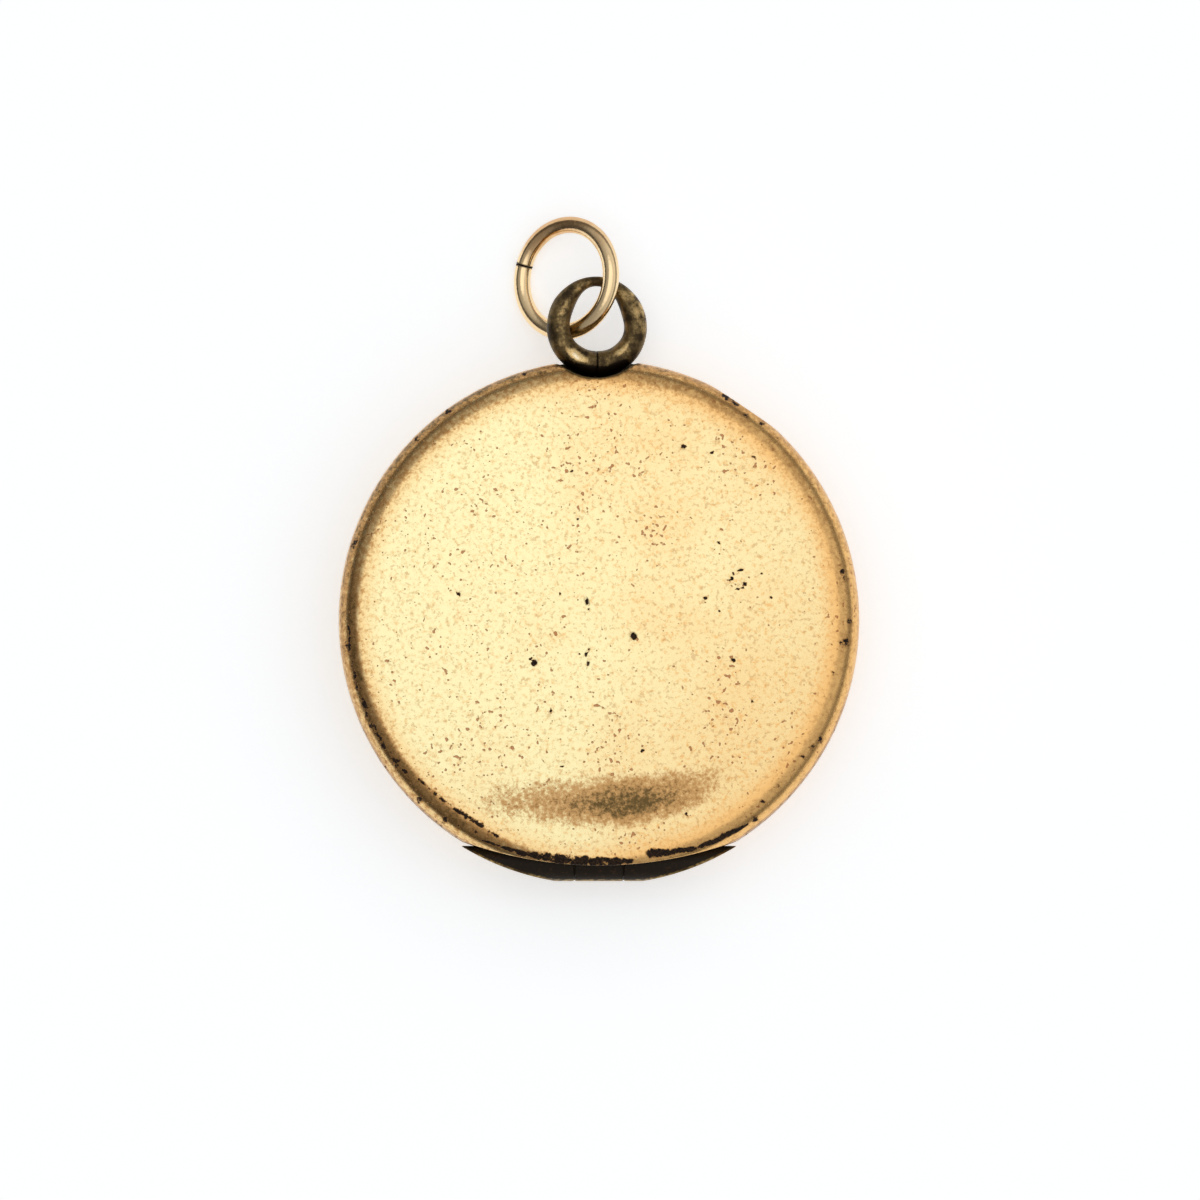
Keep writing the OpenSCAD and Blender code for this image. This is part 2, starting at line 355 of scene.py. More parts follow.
# ---------------------------------------------------------------- shader building
def add(tree, kind, links=None, **settings):
    """Adds a shader node, sets its properties, and links or sets its inputs by name or place."""
    node = tree.nodes.new(kind)
    for key, value in settings.items():
        setattr(node, key, value)
    for key, value in (links or {}).items():
        socket = node.inputs[key]
        if isinstance(value, bpy.types.NodeSocket):
            tree.links.new(value, socket)
        else:
            socket.default_value = value
    return node


def maths(tree, operation, first, second=0.0, clamp=False):
    """Result of one sum on values or sockets."""
    inputs = {0: first, 1: second}
    return add(tree, "ShaderNodeMath", inputs, operation=operation, use_clamp=clamp).outputs[0]


def ramp_between(tree, value, low, high, start=0.0, end=1.0):
    """Smooth step from start to end, as a value goes from low to high."""
    inputs = {"Value": value, "From Min": low, "From Max": high, "To Min": start, "To Max": end}
    return add(tree, "ShaderNodeMapRange", inputs, interpolation_type="SMOOTHSTEP").outputs["Result"]


def times(tree, first, second):
    """Product of two values."""
    return maths(tree, "MULTIPLY", first, second)


def weighted(tree, first, by_first, second, by_second):
    """Sum of two values, each times its own weight."""
    return maths(tree, "ADD", times(tree, first, by_first), times(tree, second, by_second))


def length_of(tree, x, y):
    """Length of the flat vector x, y."""
    return maths(tree, "SQRT", weighted(tree, x, x, y, y))


def centred(tree, value, by):
    """A noise value moved to swing round zero, times a weight."""
    return times(tree, maths(tree, "SUBTRACT", value, 0.5), by)


def mixed(tree, factor, first, second):
    """Colour mix of first and second by factor; 6, 7 and 2 are the node's colour sockets."""
    return add(tree, "ShaderNodeMix", {0: factor, 6: first, 7: second}, data_type="RGBA").outputs[2]


def colour(red, green, blue):
    """Opaque linear colour."""
    return (red, green, blue, 1.0)


def noise_of(tree, place_in, per_mm, detail=3.0, roughness=0.55):
    """Fractal noise, with so many of its largest features to a millimetre."""
    links = {"Vector": place_in, "Scale": per_mm * PER_MM, "Detail": detail, "Roughness": roughness}
    return add(tree, "ShaderNodeTexNoise", links).outputs["Fac"]


def mask(tree, name):
    """A mask of wear, stain, dirt and painted shade that the mesh keeps."""
    return add(tree, "ShaderNodeAttribute", attribute_name=name).outputs["Fac"]


def new_finish(name):
    """A material with an empty Principled surface; gives the material, its tree and the shader."""
    material = bpy.data.materials.new(name)
    material.use_nodes = True
    tree = material.node_tree
    tree.nodes.clear()
    surface = add(tree, "ShaderNodeBsdfPrincipled")
    add(tree, "ShaderNodeOutputMaterial", {"Surface": surface.outputs[0]})
    return material, tree, surface


def object_place(tree):
    """Place on the piece, in the locket's own frame."""
    return add(tree, "ShaderNodeTexCoord").outputs["Object"]


def along_axes(tree, place_in):
    """The x, y and z of a place."""
    return add(tree, "ShaderNodeSeparateXYZ", {0: place_in}).outputs


def set_bump(tree, surface, height, depth_mm):
    """Fine relief under the gloss, to so many millimetres."""
    inputs = {"Height": height, "Strength": 1.0, "Distance": depth_mm * MM}
    bump = add(tree, "ShaderNodeBump", inputs)
    tree.links.new(bump.outputs[0], surface.inputs["Normal"])


PALE_GOLD = colour(0.955, 0.85, 0.475)
DEEP_GOLD = colour(0.91, 0.54, 0.20)
BROWNED = colour(0.50, 0.255, 0.085)
TARNISH_AND_SHADE = colour(0.125, 0.082, 0.030)
GRIME_AND_SHADE = colour(0.022, 0.015, 0.009)
BASE_METAL_AND_SHADE = colour(0.014, 0.008, 0.006)
PURPLE_BROWN = colour(0.052, 0.028, 0.014)
REDDISH = colour(0.40, 0.14, 0.05)
BRIGHT_GILT = colour(0.97, 0.70, 0.32)
DULL_GILT = colour(0.84, 0.50, 0.20)
RUBBED_BARREL = colour(0.44, 0.29, 0.10)
DULL_BARREL = colour(0.16, 0.10, 0.035)
DARK_PATINA = colour(0.055, 0.036, 0.017)
BROWN_PATINA = colour(0.20, 0.135, 0.055)
WORN_BRASS = colour(0.82, 0.60, 0.28)
OLD_BRASS = colour(0.52, 0.32, 0.12)
BRIGHT_BRASS = colour(0.97, 0.84, 0.60)
ROSE = colour(1.0, 0.75, 0.43)
ROSE_FILM = colour(0.62, 0.33, 0.14)
PALE_CARD = colour(0.90, 0.80, 0.60)
BROWNED_CARD = colour(0.60, 0.44, 0.25)
FOXING = colour(0.38, 0.22, 0.10)
YELLOWED_CLEAR = colour(0.98, 0.95, 0.86)
LIGHT_SOLDER = colour(0.10, 0.08, 0.055)
DARK_SOLDER = colour(0.018, 0.014, 0.010)
LIGHT_STEEL = colour(0.40, 0.36, 0.30)
DARK_STEEL = colour(0.13, 0.11, 0.09)


def gold_filled(name):
    """Worn satin gold: fine grain, deeper areas, red-brown specks, tarnish and bare base metal, with
    painted light, shade and reflection.
    """
    material, tree, surface = new_finish(name)
    here = object_place(tree)
    x, y = along_axes(tree, here)[:2]
    # The face is paler to the left and deeper to the right: a painted light slope, mixed with random
    # tone.
    across = weighted(tree, x, 0.055 * PER_MM, y, -0.012 * PER_MM)
    cloud = centred(tree, noise_of(tree, here, 0.13, 3.0), 2.2)
    tone_and_painted_light = ramp_between(tree, maths(tree, "ADD", across, cloud), -0.35, 0.75)
    grain = noise_of(tree, here, 4.2, 4.0, 0.75)
    fine = noise_of(tree, here, 11.0, 2.0, 0.6)
    shoulder = ramp_between(tree, length_of(tree, x, y), 10.4 * MM, 11.7 * MM, 0.0, 0.62)
    tone = maths(tree, "ADD", times(tree, tone_and_painted_light, 0.50), shoulder)
    tone = maths(tree, "ADD", tone, ramp_between(tree, grain, 0.50, 0.68, 0.0, 0.60), True)
    base = mixed(tree, tone, PALE_GOLD, DEEP_GOLD)
    pore = ramp_between(tree, noise_of(tree, here, 5.2, 2.0, 0.5), 0.56, 0.68)
    base = mixed(tree, times(tree, pore, 0.42), base, BROWNED)

    crowd = noise_of(tree, here, 0.30, 3.0)
    speck = noise_of(tree, here, 4.6, 1.0, 0.4)
    rarity = ramp_between(tree, crowd, 0.35, 0.66, 0.76, 0.645)
    speck_mask = ramp_between(tree, maths(tree, "SUBTRACT", speck, rarity), 0.0, 0.05)
    base = mixed(tree, times(tree, speck_mask, 0.85), base, REDDISH)

    # The stain mask carries tarnish and also painted shade and painted reflection, which come out brown
    # and near-black.
    stain_and_shade = mask(tree, "stain_and_shade")
    cloudy = maths(tree, "ADD", stain_and_shade, centred(tree, grain, 1.9))
    cloudy = maths(tree, "ADD", cloudy, centred(tree, noise_of(tree, here, 1.2, 3.0), 0.5))
    shown = ramp_between(tree, stain_and_shade, 0.0, 0.26)
    browned = times(tree, ramp_between(tree, cloudy, -0.02, 0.62), shown)
    base = mixed(tree, times(tree, browned, 0.88), base, BROWNED)
    tarnished = times(tree, ramp_between(tree, cloudy, 0.55, 1.15), shown)
    base = mixed(tree, times(tree, tarnished, 0.95), base, TARNISH_AND_SHADE)

    # The worn mask also carries painted shade: the low wall beside the hinge comes out as dark bare
    # metal.
    worn = mask(tree, "worn")
    ragged = maths(tree, "ADD", worn, centred(tree, noise_of(tree, here, 2.3, 5.0, 0.72), 1.9))
    gone, thin = ramp_between(tree, ragged, 0.50, 0.60), ramp_between(tree, ragged, 0.30, 0.52)
    bare = times(tree, gone, ramp_between(tree, worn, 0.04, 0.16))
    rind = times(tree, thin, ramp_between(tree, worn, 0.02, 0.12))
    base = mixed(tree, times(tree, rind, 0.8), base, BROWNED)
    metal = mixed(tree, ramp_between(tree, fine, 0.40, 0.65), BASE_METAL_AND_SHADE, PURPLE_BROWN)
    base = mixed(tree, bare, base, metal)
    tree.links.new(base, surface.inputs["Base Color"])

    tree.links.new(ramp_between(tree, bare, 0.0, 1.0, 1.0, 0.12), surface.inputs["Metallic"])
    surface.inputs["Specular IOR Level"].default_value = 0.12
    rough = ramp_between(tree, grain, 0.3, 0.75, 0.19, 0.33)
    rough = maths(tree, "ADD", rough, times(tree, tarnished, 0.10))
    rough = maths(tree, "ADD", rough, times(tree, bare, 0.32), True)
    tree.links.new(rough, surface.inputs["Roughness"])

    height = weighted(tree, grain, 0.65, fine, 0.35)
    height = maths(tree, "SUBTRACT", height, speck_mask)
    height = maths(tree, "SUBTRACT", height, times(tree, bare, 2.0))
    set_bump(tree, surface, height, 0.009)
    return material


def inner_gold(name):
    """Protected gilt inside the case: brighter, with fine turning marks, a little handling dust, and
    painted shade with dirt towards the hinge.
    """
    material, tree, surface = new_finish(name)
    here = object_place(tree)
    x, y = along_axes(tree, here)[:2]
    radius = length_of(tree, x, y)
    turning = maths(tree, "SINE", times(tree, radius, 62.0 * PER_MM))
    cloud = noise_of(tree, here, 0.5, 4.0)
    base = mixed(tree, ramp_between(tree, cloud, 0.40, 0.70), BRIGHT_GILT, DULL_GILT)
    # Below the hinge bearer the gilt is painted near-black: painted shade in the gap under the lid's
    # edge, with dirt.
    hinge_gap_shade = ramp_between(tree, y, BEARER_Y * MM, (BEARER_Y - 0.5) * MM)
    base = mixed(tree, times(tree, hinge_gap_shade, 0.93), base, GRIME_AND_SHADE)
    tree.links.new(base, surface.inputs["Base Color"])
    surface.inputs["Metallic"].default_value = 1.0
    tree.links.new(ramp_between(tree, cloud, 0.3, 0.75, 0.16, 0.36), surface.inputs["Roughness"])
    height = maths(tree, "ADD", times(tree, turning, 0.25), noise_of(tree, here, 9.0, 3.0))
    set_bump(tree, surface, height, 0.004)
    return material


def barrel_gold(name):
    """Gold of the hinge's barrel: rubbed along its filed outer edge, black elsewhere with dirt and
    painted shade under the lid's edge.
    """
    material, tree, surface = new_finish(name)
    here = object_place(tree)
    x, y = along_axes(tree, here)[:2]
    from_file = maths(tree, "SUBTRACT", OUTLINE_R * MM, length_of(tree, x, y))
    from_bottom = maths(tree, "SUBTRACT", y, (HINGE_Y - BARREL_R) * MM)
    inward = times(tree, maths(tree, "MINIMUM", from_file, from_bottom), PER_MM)
    grain = noise_of(tree, here, 4.5, 4.0, 0.7)
    # Away from the filed edge the barrel is painted near-black: dirt and painted shade.
    dirt_and_shade_amount = ramp_between(tree, maths(tree, "ADD", inward, centred(tree, grain, 0.16)), 0.01, 0.12)
    rubbed = mixed(tree, ramp_between(tree, grain, 0.4, 0.6), RUBBED_BARREL, DULL_BARREL)
    dirt_and_shade = mixed(tree, ramp_between(tree, grain, 0.52, 0.70), GRIME_AND_SHADE, PURPLE_BROWN)
    base = mixed(tree, dirt_and_shade_amount, rubbed, dirt_and_shade)
    tree.links.new(base, surface.inputs["Base Color"])
    tree.links.new(ramp_between(tree, dirt_and_shade_amount, 0.0, 1.0, 0.95, 0.05), surface.inputs["Metallic"])
    surface.inputs["Specular IOR Level"].default_value = 0.15
    tree.links.new(ramp_between(tree, dirt_and_shade_amount, 0.0, 1.0, 0.33, 0.55), surface.inputs["Roughness"])
    set_bump(tree, surface, grain, 0.012)
    return material


def bow_patina(name):
    """Dark patina on a brass wire, black at the foot with patina and painted shade, and rubbed bright
    where things touch it.
    """
    material, tree, surface = new_finish(name)
    here = object_place(tree)
    cloud = noise_of(tree, here, 1.5, 5.0, 0.65)
    fine = noise_of(tree, here, 7.0, 4.0, 0.7)
    amount = maths(tree, "ADD", mask(tree, "rubbed"), centred(tree, cloud, 1.1))
    amount = maths(tree, "ADD", amount, centred(tree, fine, 0.9))
    brown = mixed(tree, ramp_between(tree, cloud, 0.38, 0.62), DARK_PATINA, BROWN_PATINA)
    # Where the rubbed mask goes below zero, at the foot, it is painted shade and goes near-black.
    dark = mixed(tree, ramp_between(tree, amount, -0.35, 0.15), GRIME_AND_SHADE, brown)
    brassy = mixed(tree, ramp_between(tree, fine, 0.35, 0.7), WORN_BRASS, OLD_BRASS)
    base = mixed(tree, ramp_between(tree, amount, 0.34, 0.78), dark, brassy)
    base = mixed(tree, ramp_between(tree, amount, 0.95, 1.35), base, BRIGHT_BRASS)
    base = mixed(tree, mask(tree, "seam"), base, BASE_METAL_AND_SHADE)
    tree.links.new(base, surface.inputs["Base Color"])
    surface.inputs["Metallic"].default_value = 0.94
    rough = ramp_between(tree, amount, 0.2, 0.95, 0.42, 0.17)
    tree.links.new(rough, surface.inputs["Roughness"])
    height = weighted(tree, cloud, 0.9, fine, 0.6)
    set_bump(tree, surface, height, 0.03)
    return material


def rose_gold(name):
    """Polished rose gold wire, with drawing lines, a faint brown film and painted shade in its cut."""
    material, tree, surface = new_finish(name)
    here = object_place(tree)
    y = along_axes(tree, here)[1]
    cloud = centred(tree, noise_of(tree, here, 0.8, 4.0), 1.6)
    towards_top = maths(tree, "ADD", times(tree, y, 0.36 * PER_MM), cloud)
    film = ramp_between(tree, towards_top, 6.15, 7.1)
    # The ring's cut is painted black: painted shade.
    cut_shade = mask(tree, "seam")
    base = mixed(tree, times(tree, film, 0.75), ROSE, ROSE_FILM)
    base = mixed(tree, cut_shade, base, BASE_METAL_AND_SHADE)
    tree.links.new(base, surface.inputs["Base Color"])
    tree.links.new(ramp_between(tree, cut_shade, 0.3, 0.9, 1.0, 0.0), surface.inputs["Metallic"])
    surface.inputs["Specular IOR Level"].default_value = 0.0
    rough = ramp_between(tree, noise_of(tree, here, 4.0, 4.0), 0.3, 0.8, 0.08, 0.20)
    tree.links.new(rough, surface.inputs["Roughness"])
    set_bump(tree, surface, noise_of(tree, here, 6.0, 5.0, 0.6), 0.006)
    return material


def dull_metal(name, light, dark, rough):
    """Plain tarnished metal for solder and pin ends, darkened in the pin's seams with dirt and painted
    shade.
    """
    material, tree, surface = new_finish(name)
    here = object_place(tree)
    cloud = noise_of(tree, here, 3.0, 5.0, 0.65)
    base = mixed(tree, ramp_between(tree, cloud, 0.35, 0.65), dark, light)
    # The seam mask darkens the pin's seam fillings: dirt and painted shade.
    tree.links.new(mixed(tree, mask(tree, "seam"), base, GRIME_AND_SHADE), surface.inputs["Base Color"])
    surface.inputs["Metallic"].default_value = 0.9
    dullness = ramp_between(tree, cloud, 0.3, 0.7, rough + 0.12, rough - 0.08)
    tree.links.new(dullness, surface.inputs["Roughness"])
    set_bump(tree, surface, noise_of(tree, here, 8.0, 4.0), 0.02)
    return material


def aged_card(name):
    """Blank card, browned towards its rim, with paper fibre and a few foxing spots."""
    material, tree, surface = new_finish(name)
    here = object_place(tree)
    x, y = along_axes(tree, here)[:2]
    radius = length_of(tree, x, y)
    cloud = noise_of(tree, here, 0.4, 5.0)
    uneven = maths(tree, "ADD", radius, times(tree, cloud, 2.0 * MM))
    edge = ramp_between(tree, uneven, 6.5 * MM, 10.5 * MM)
    base = mixed(tree, edge, PALE_CARD, BROWNED_CARD)
    spots = ramp_between(tree, noise_of(tree, here, 1.6, 4.0, 0.6), 0.64, 0.78)
    base = mixed(tree, times(tree, spots, 0.45), base, FOXING)
    tree.links.new(base, surface.inputs["Base Color"])
    surface.inputs["Roughness"].default_value = 0.85
    set_bump(tree, surface, noise_of(tree, here, 12.0, 5.0, 0.7), 0.02)
    return material


def celluloid(name):
    """Clear, slightly yellowed disc with hair scratches."""
    material, tree, surface = new_finish(name)
    here = object_place(tree)
    surface.inputs["Base Color"].default_value = YELLOWED_CLEAR
    surface.inputs["Metallic"].default_value = 1.0
    hair_lines = {"Vector": here, "Scale": (1.0, 14.0, 1.0), "Rotation": (0, 0, 0.5)}
    stretch = add(tree, "ShaderNodeMapping", hair_lines)
    scratches = noise_of(tree, stretch.outputs[0], 1.6, 5.0, 0.7)
    tree.links.new(ramp_between(tree, scratches, 0.55, 0.75, 0.04, 0.20), surface.inputs["Roughness"])
    tree.links.new(ramp_between(tree, scratches, 0.50, 0.75, 0.07, 0.20), surface.inputs["Alpha"])
    set_bump(tree, surface, scratches, 0.002)
    return material


# ---------------------------------------------------------------- wear, stains and painted shade on the case
def spot(points, x, y, wide, tall=None):
    """Soft oval mask, 1 at the middle and 0 at its edge."""
    away = np.hypot((points[:, 0] - x) / wide, (points[:, 1] - y) / (tall or wide))
    return np.clip(1 - away ** 2, 0, 1)


# Dings in the lid's face: x, y, half width, half height and depth.
LID_DINGS = (
    (1.64, -0.84, 0.17, 0.23, 0.10),
    (-0.58, 0.80, 0.11, 0.24, 0.08),
    (-0.46, 0.42, 0.12, 0.09, 0.04),
    (-3.10, -2.15, 0.15, 0.20, 0.08),
    (-3.26, -1.94, 0.10, 0.10, 0.03),
    (-6.75, 1.20, 0.13, 0.17, 0.05),
    (-1.88, 1.20, 0.09, 0.13, 0.03),
    (-0.62, -1.72, 0.09, 0.15, 0.05),
    (-0.48, -1.52, 0.09, 0.11, 0.04),
    (-0.52, -2.15, 0.10, 0.18, 0.05),
    (-0.95, -1.72, 0.13, 0.09, 0.02),
    (-1.30, 7.05, 0.12, 0.12, 0.04),
    (-1.0, 4.75, 0.12, 0.12, 0.04),
    (4.05, 8.25, 0.20, 0.14, 0.08),
    (4.45, 8.15, 0.12, 0.09, 0.03),
    (5.45, 7.95, 0.14, 0.13, 0.05),
    (7.35, 7.80, 0.14, 0.12, 0.04),
    (5.75, 3.60, 0.12, 0.11, 0.04),
    (4.40, 4.80, 0.12, 0.11, 0.03),
    (5.10, 0.98, 0.12, 0.13, 0.04),
    (5.75, 0.35, 0.10, 0.11, 0.03),
    (8.25, 0.98, 0.10, 0.11, 0.04),
    (6.45, -2.00, 0.15, 0.14, 0.05),
    (2.10, -6.30, 0.14, 0.13, 0.04),
    (1.00, -5.10, 0.09, 0.09, 0.03),
    (-5.45, -4.50, 0.11, 0.11, 0.03),
    (-2.30, -4.45, 0.08, 0.20, 0.02),
    (-1.78, -7.10, 0.13, 0.11, 0.04),
    (4.20, -9.40, 0.14, 0.10, 0.05),
    (7.35, -4.00, 0.13, 0.13, 0.02),
)
# The scuffed cluster right of the middle: small dings round a ring, with two strays.
CLUSTER = (6.80, 1.85)
CLUSTER_DINGS = (
    (-0.46, 0.02, 0.10, 0.19, 0.06),
    (-0.38, 0.30, 0.11, 0.09, 0.04),
    (-0.02, 0.46, 0.22, 0.10, 0.05),
    (0.34, 0.10, 0.10, 0.14, 0.04),
    (0.20, -0.18, 0.16, 0.15, 0.07),
    (0.05, -0.38, 0.12, 0.09, 0.04),
    (-0.20, -0.45, 0.13, 0.10, 0.05),
    (-0.42, -0.28, 0.09, 0.10, 0.03),
    (0.46, -0.02, 0.09, 0.09, 0.03),
    (0.92, 0.28, 0.10, 0.12, 0.04),
)
ALL_DINGS = LID_DINGS + tuple((CLUSTER[0] + d[0], CLUSTER[1] + d[1]) + d[2:] for d in CLUSTER_DINGS)

# Bare spots on the lid's rim: x, y and size.
LID_RIM_SPOTS = (
    (-7.25, 9.95, 0.26), (-8.75, 8.70, 0.26), (-11.75, 3.65, 0.30), (6.1, 10.6, 0.28), (6.6, 10.35, 0.26),
    (7.1, 9.8, 0.24), (7.8, 9.45, 0.24), (8.6, 8.65, 0.20), (11.65, 2.30, 0.20), (11.85, 1.95, 0.22),
    (12.0, -0.1, 0.20), (11.75, -1.15, 0.30), (11.2, -2.6, 0.16), (9.80, -6.65, 0.22), (10.2, -6.1, 0.22),
    (10.6, -5.8, 0.20), (8.6, -8.0, 0.22), (7.85, -8.7, 0.20), (7.4, -9.55, 0.24), (-12.1, -1.2, 0.20),
    (-7.4, -9.6, 0.24), (-6.75, -9.9, 0.22), (-6.0, -10.2, 0.22), (-8.6, -8.6, 0.24), (-3.6, 11.75, 0.20),
)
# Bare streaks: how strong each one is, then its points with its half width at each.
LID_STREAKS = (
    (0.80, (-5.6, -10.60, 0.05), (-3.6, -11.25, 0.13), (-2.0, -11.50, 0.23), (0.0, -11.64, 0.22),
     (1.6, -11.60, 0.12)),
    (0.80, (2.5, -11.22, 0.22), (3.4, -11.16, 0.14), (4.7, -10.98, 0.10), (5.8, -10.48, 0.15),
     (7.1, -9.85, 0.06)),
    (0.60, (-12.0, -0.2, 0.05), (-11.95, -1.2, 0.12), (-11.82, -2.2, 0.14), (-11.55, -3.4, 0.10)),
    (0.56, (-11.5, -3.3, 0.10), (-11.1, -4.6, 0.16), (-10.45, -5.8, 0.20), (-9.7, -6.9, 0.20),
     (-8.8, -7.8, 0.10)),
    (0.62, (-8.9, -7.45, 0.06), (-7.4, -8.75, 0.12), (-5.9, -9.75, 0.15), (-4.8, -10.45, 0.08)),
)


def tapered_streak(points, stops):
    """Mask round a bent line, whose half width changes from stop to stop."""
    best = np.zeros(len(points))
    for first, second in zip(stops, stops[1:]):
        start, line = np.array(first[:2]), np.array(second[:2]) - np.array(first[:2])
        t = np.clip(((points[:, :2] - start) @ line) / (line @ line), 0, 1)
        width = first[2] + (second[2] - first[2]) * t
        away = np.hypot(*(points[:, :2] - start - t[:, None] * line).T) / (1.6 * width)
        best = np.maximum(best, np.clip(1 - away ** 2, 0, 1))
    return best


def lid_masks(points):
    """Worn-through and stained parts of the lid, with painted shade and painted reflection."""
    x, y = points[:, 0], points[:, 1]
    radius = np.hypot(x, y)
    worn = np.zeros(len(points))
    for spot_x, spot_y, size in LID_RIM_SPOTS:
        worn = np.maximum(worn, 0.66 * spot(points, spot_x, spot_y, size * 1.25))
    for strength, *stops in LID_STREAKS:
        worn = np.maximum(worn, strength * tapered_streak(points, stops))
    for ding_x, ding_y, wide, tall, depth in ALL_DINGS:
        worn = np.maximum(worn, min(0.62 + 8 * depth, 1.3) * spot(points, ding_x, ding_y, wide, tall))
    # A soft dark crescent beside the hinge: partly tarnish, partly a painted dark reflection.
    middle = -8.95 + 0.040 * np.clip(x - 0.4, 0, 8) ** 2 + 0.012 * np.clip(-x - 1, 0, 8) ** 2
    half = 1.75 - 0.08 * np.abs(x - 1.2)
    low_side = np.where(y < middle, 0.72, 1.0)
    reach = np.clip(1 - np.abs((y - middle) / np.maximum(half * low_side, 0.2)) ** 1.6, 0, 1)
    along = np.exp(-((x - 0.2) / 5.7) ** 6)
    stain_and_shade = (0.52 + 0.56 * np.exp(-((x - 1.4) / 2.9) ** 2)) * reach * along
    # Browning over the shoulder, partly tarnish and partly painted shade on the side away from the light:
    # darkest at the top left's outer edge, lightest on the right.
    facing = np.arctan2(y, x)
    deep = 0.5 + 0.5 * np.cos(facing - math.radians(125))
    inner = smoothstep(radius, 10.7, 11.9)
    stain_and_shade = np.maximum(stain_and_shade, (0.15 + 0.24 * deep) * inner)
    from_top = points[:, 2] > 1.2
    stain_and_shade = np.maximum(stain_and_shade, 0.95 * deep ** 1.5 * smoothstep(radius, 11.7, 12.35) * from_top)
    # Two dark bands on the shoulder, at the lower left and at the left, are painted reflections of a dark
    # surround.
    lower_left = np.exp(-((np.degrees(np.arctan2(-y, -x)) - 45) / 30) ** 4)
    painted_reflection_low_left = smoothstep(radius, 11.30, 11.55) * (1 - smoothstep(radius, 11.95, 12.25))
    stain_and_shade = np.maximum(stain_and_shade, 0.70 * painted_reflection_low_left * lower_left)
    groove = smoothstep(radius, 11.50, 11.72) * (1 - smoothstep(radius, 11.95, 12.12))
    left = np.exp(-((np.degrees(np.arctan2(-y, -x)) - 8) / 28) ** 2)
    stain_and_shade = np.maximum(stain_and_shade, 0.84 * groove * left)
    # The wall below the shoulder is painted dark on both sides of the hinge: painted shade.
    shaded_low_wall = (radius > 12.38) * (1 - 0.5 * smoothstep(points[:, 2], 0.2, 1.2)) * (points[:, 2] < 1.85)
    shaded_low_wall = shaded_low_wall * smoothstep(-y, 0.5, 6.0)
    worn = np.maximum(worn, 0.66 * shaded_low_wall)
    stain_and_shade = np.maximum(stain_and_shade, 1.2 * shaded_low_wall)
    # Painted shade in the bow's notch and along the meeting edge.
    notch_gap = np.hypot(x - BOW_CENTRE[0], y - BOW_CENTRE[1]) - NOTCH_R
    stain_and_shade = np.maximum(stain_and_shade, 1.3 * (1 - smoothstep(notch_gap, 0.0, 0.22)))
    stain_and_shade = np.maximum(stain_and_shade, 1.1 * (1 - smoothstep(points[:, 2], 0.05, 0.30)) * (radius > 11))
    return worn, stain_and_shade


def back_masks(points):
    """Worn and stained parts of the back: a rubbed rim, and painted shade round the meeting edge and on
    the low wall beside the hinge.
    """
    x, y = points[:, 0], points[:, 1]
    radius = np.hypot(x, y)
    up = points[:, 2]
    worn = 0.16 * smoothstep(radius, 11.9, 12.4)
    worn = np.maximum(worn, 0.30 * (np.abs(up - SPLIT_Z) < 0.02) * (radius > 4))
    # The low wall beside the hinge is painted dark: painted shade.
    low_side = smoothstep(-y, 0.5, 7.5) * (radius > 12.1)
    shaded_low_wall = (1 - smoothstep(up, 0.1, 1.5)) * low_side
    worn = np.maximum(worn, 0.66 * shaded_low_wall)
    stain_and_shade = np.maximum(0.28 * smoothstep(radius, 11.1, 11.8), 1.1 * shaded_low_wall)
    # Painted shade along the meeting edge.
    stain_and_shade = np.maximum(stain_and_shade, 1.3 * (1 - smoothstep(up, 0.15, 0.5)) * (radius > 11))
    return worn, stain_and_shade


def lid_relief(points):
    """Depth of the dings below the lid's face."""
    depth = np.zeros(len(points))
    for x, y, wide, tall, deep in ALL_DINGS:
        depth = np.maximum(depth, deep * spot(points, x, y, wide, tall) ** 1.5)
    return depth


def no_relief(points):
    """The back has no dings."""
    return np.zeros(len(points))


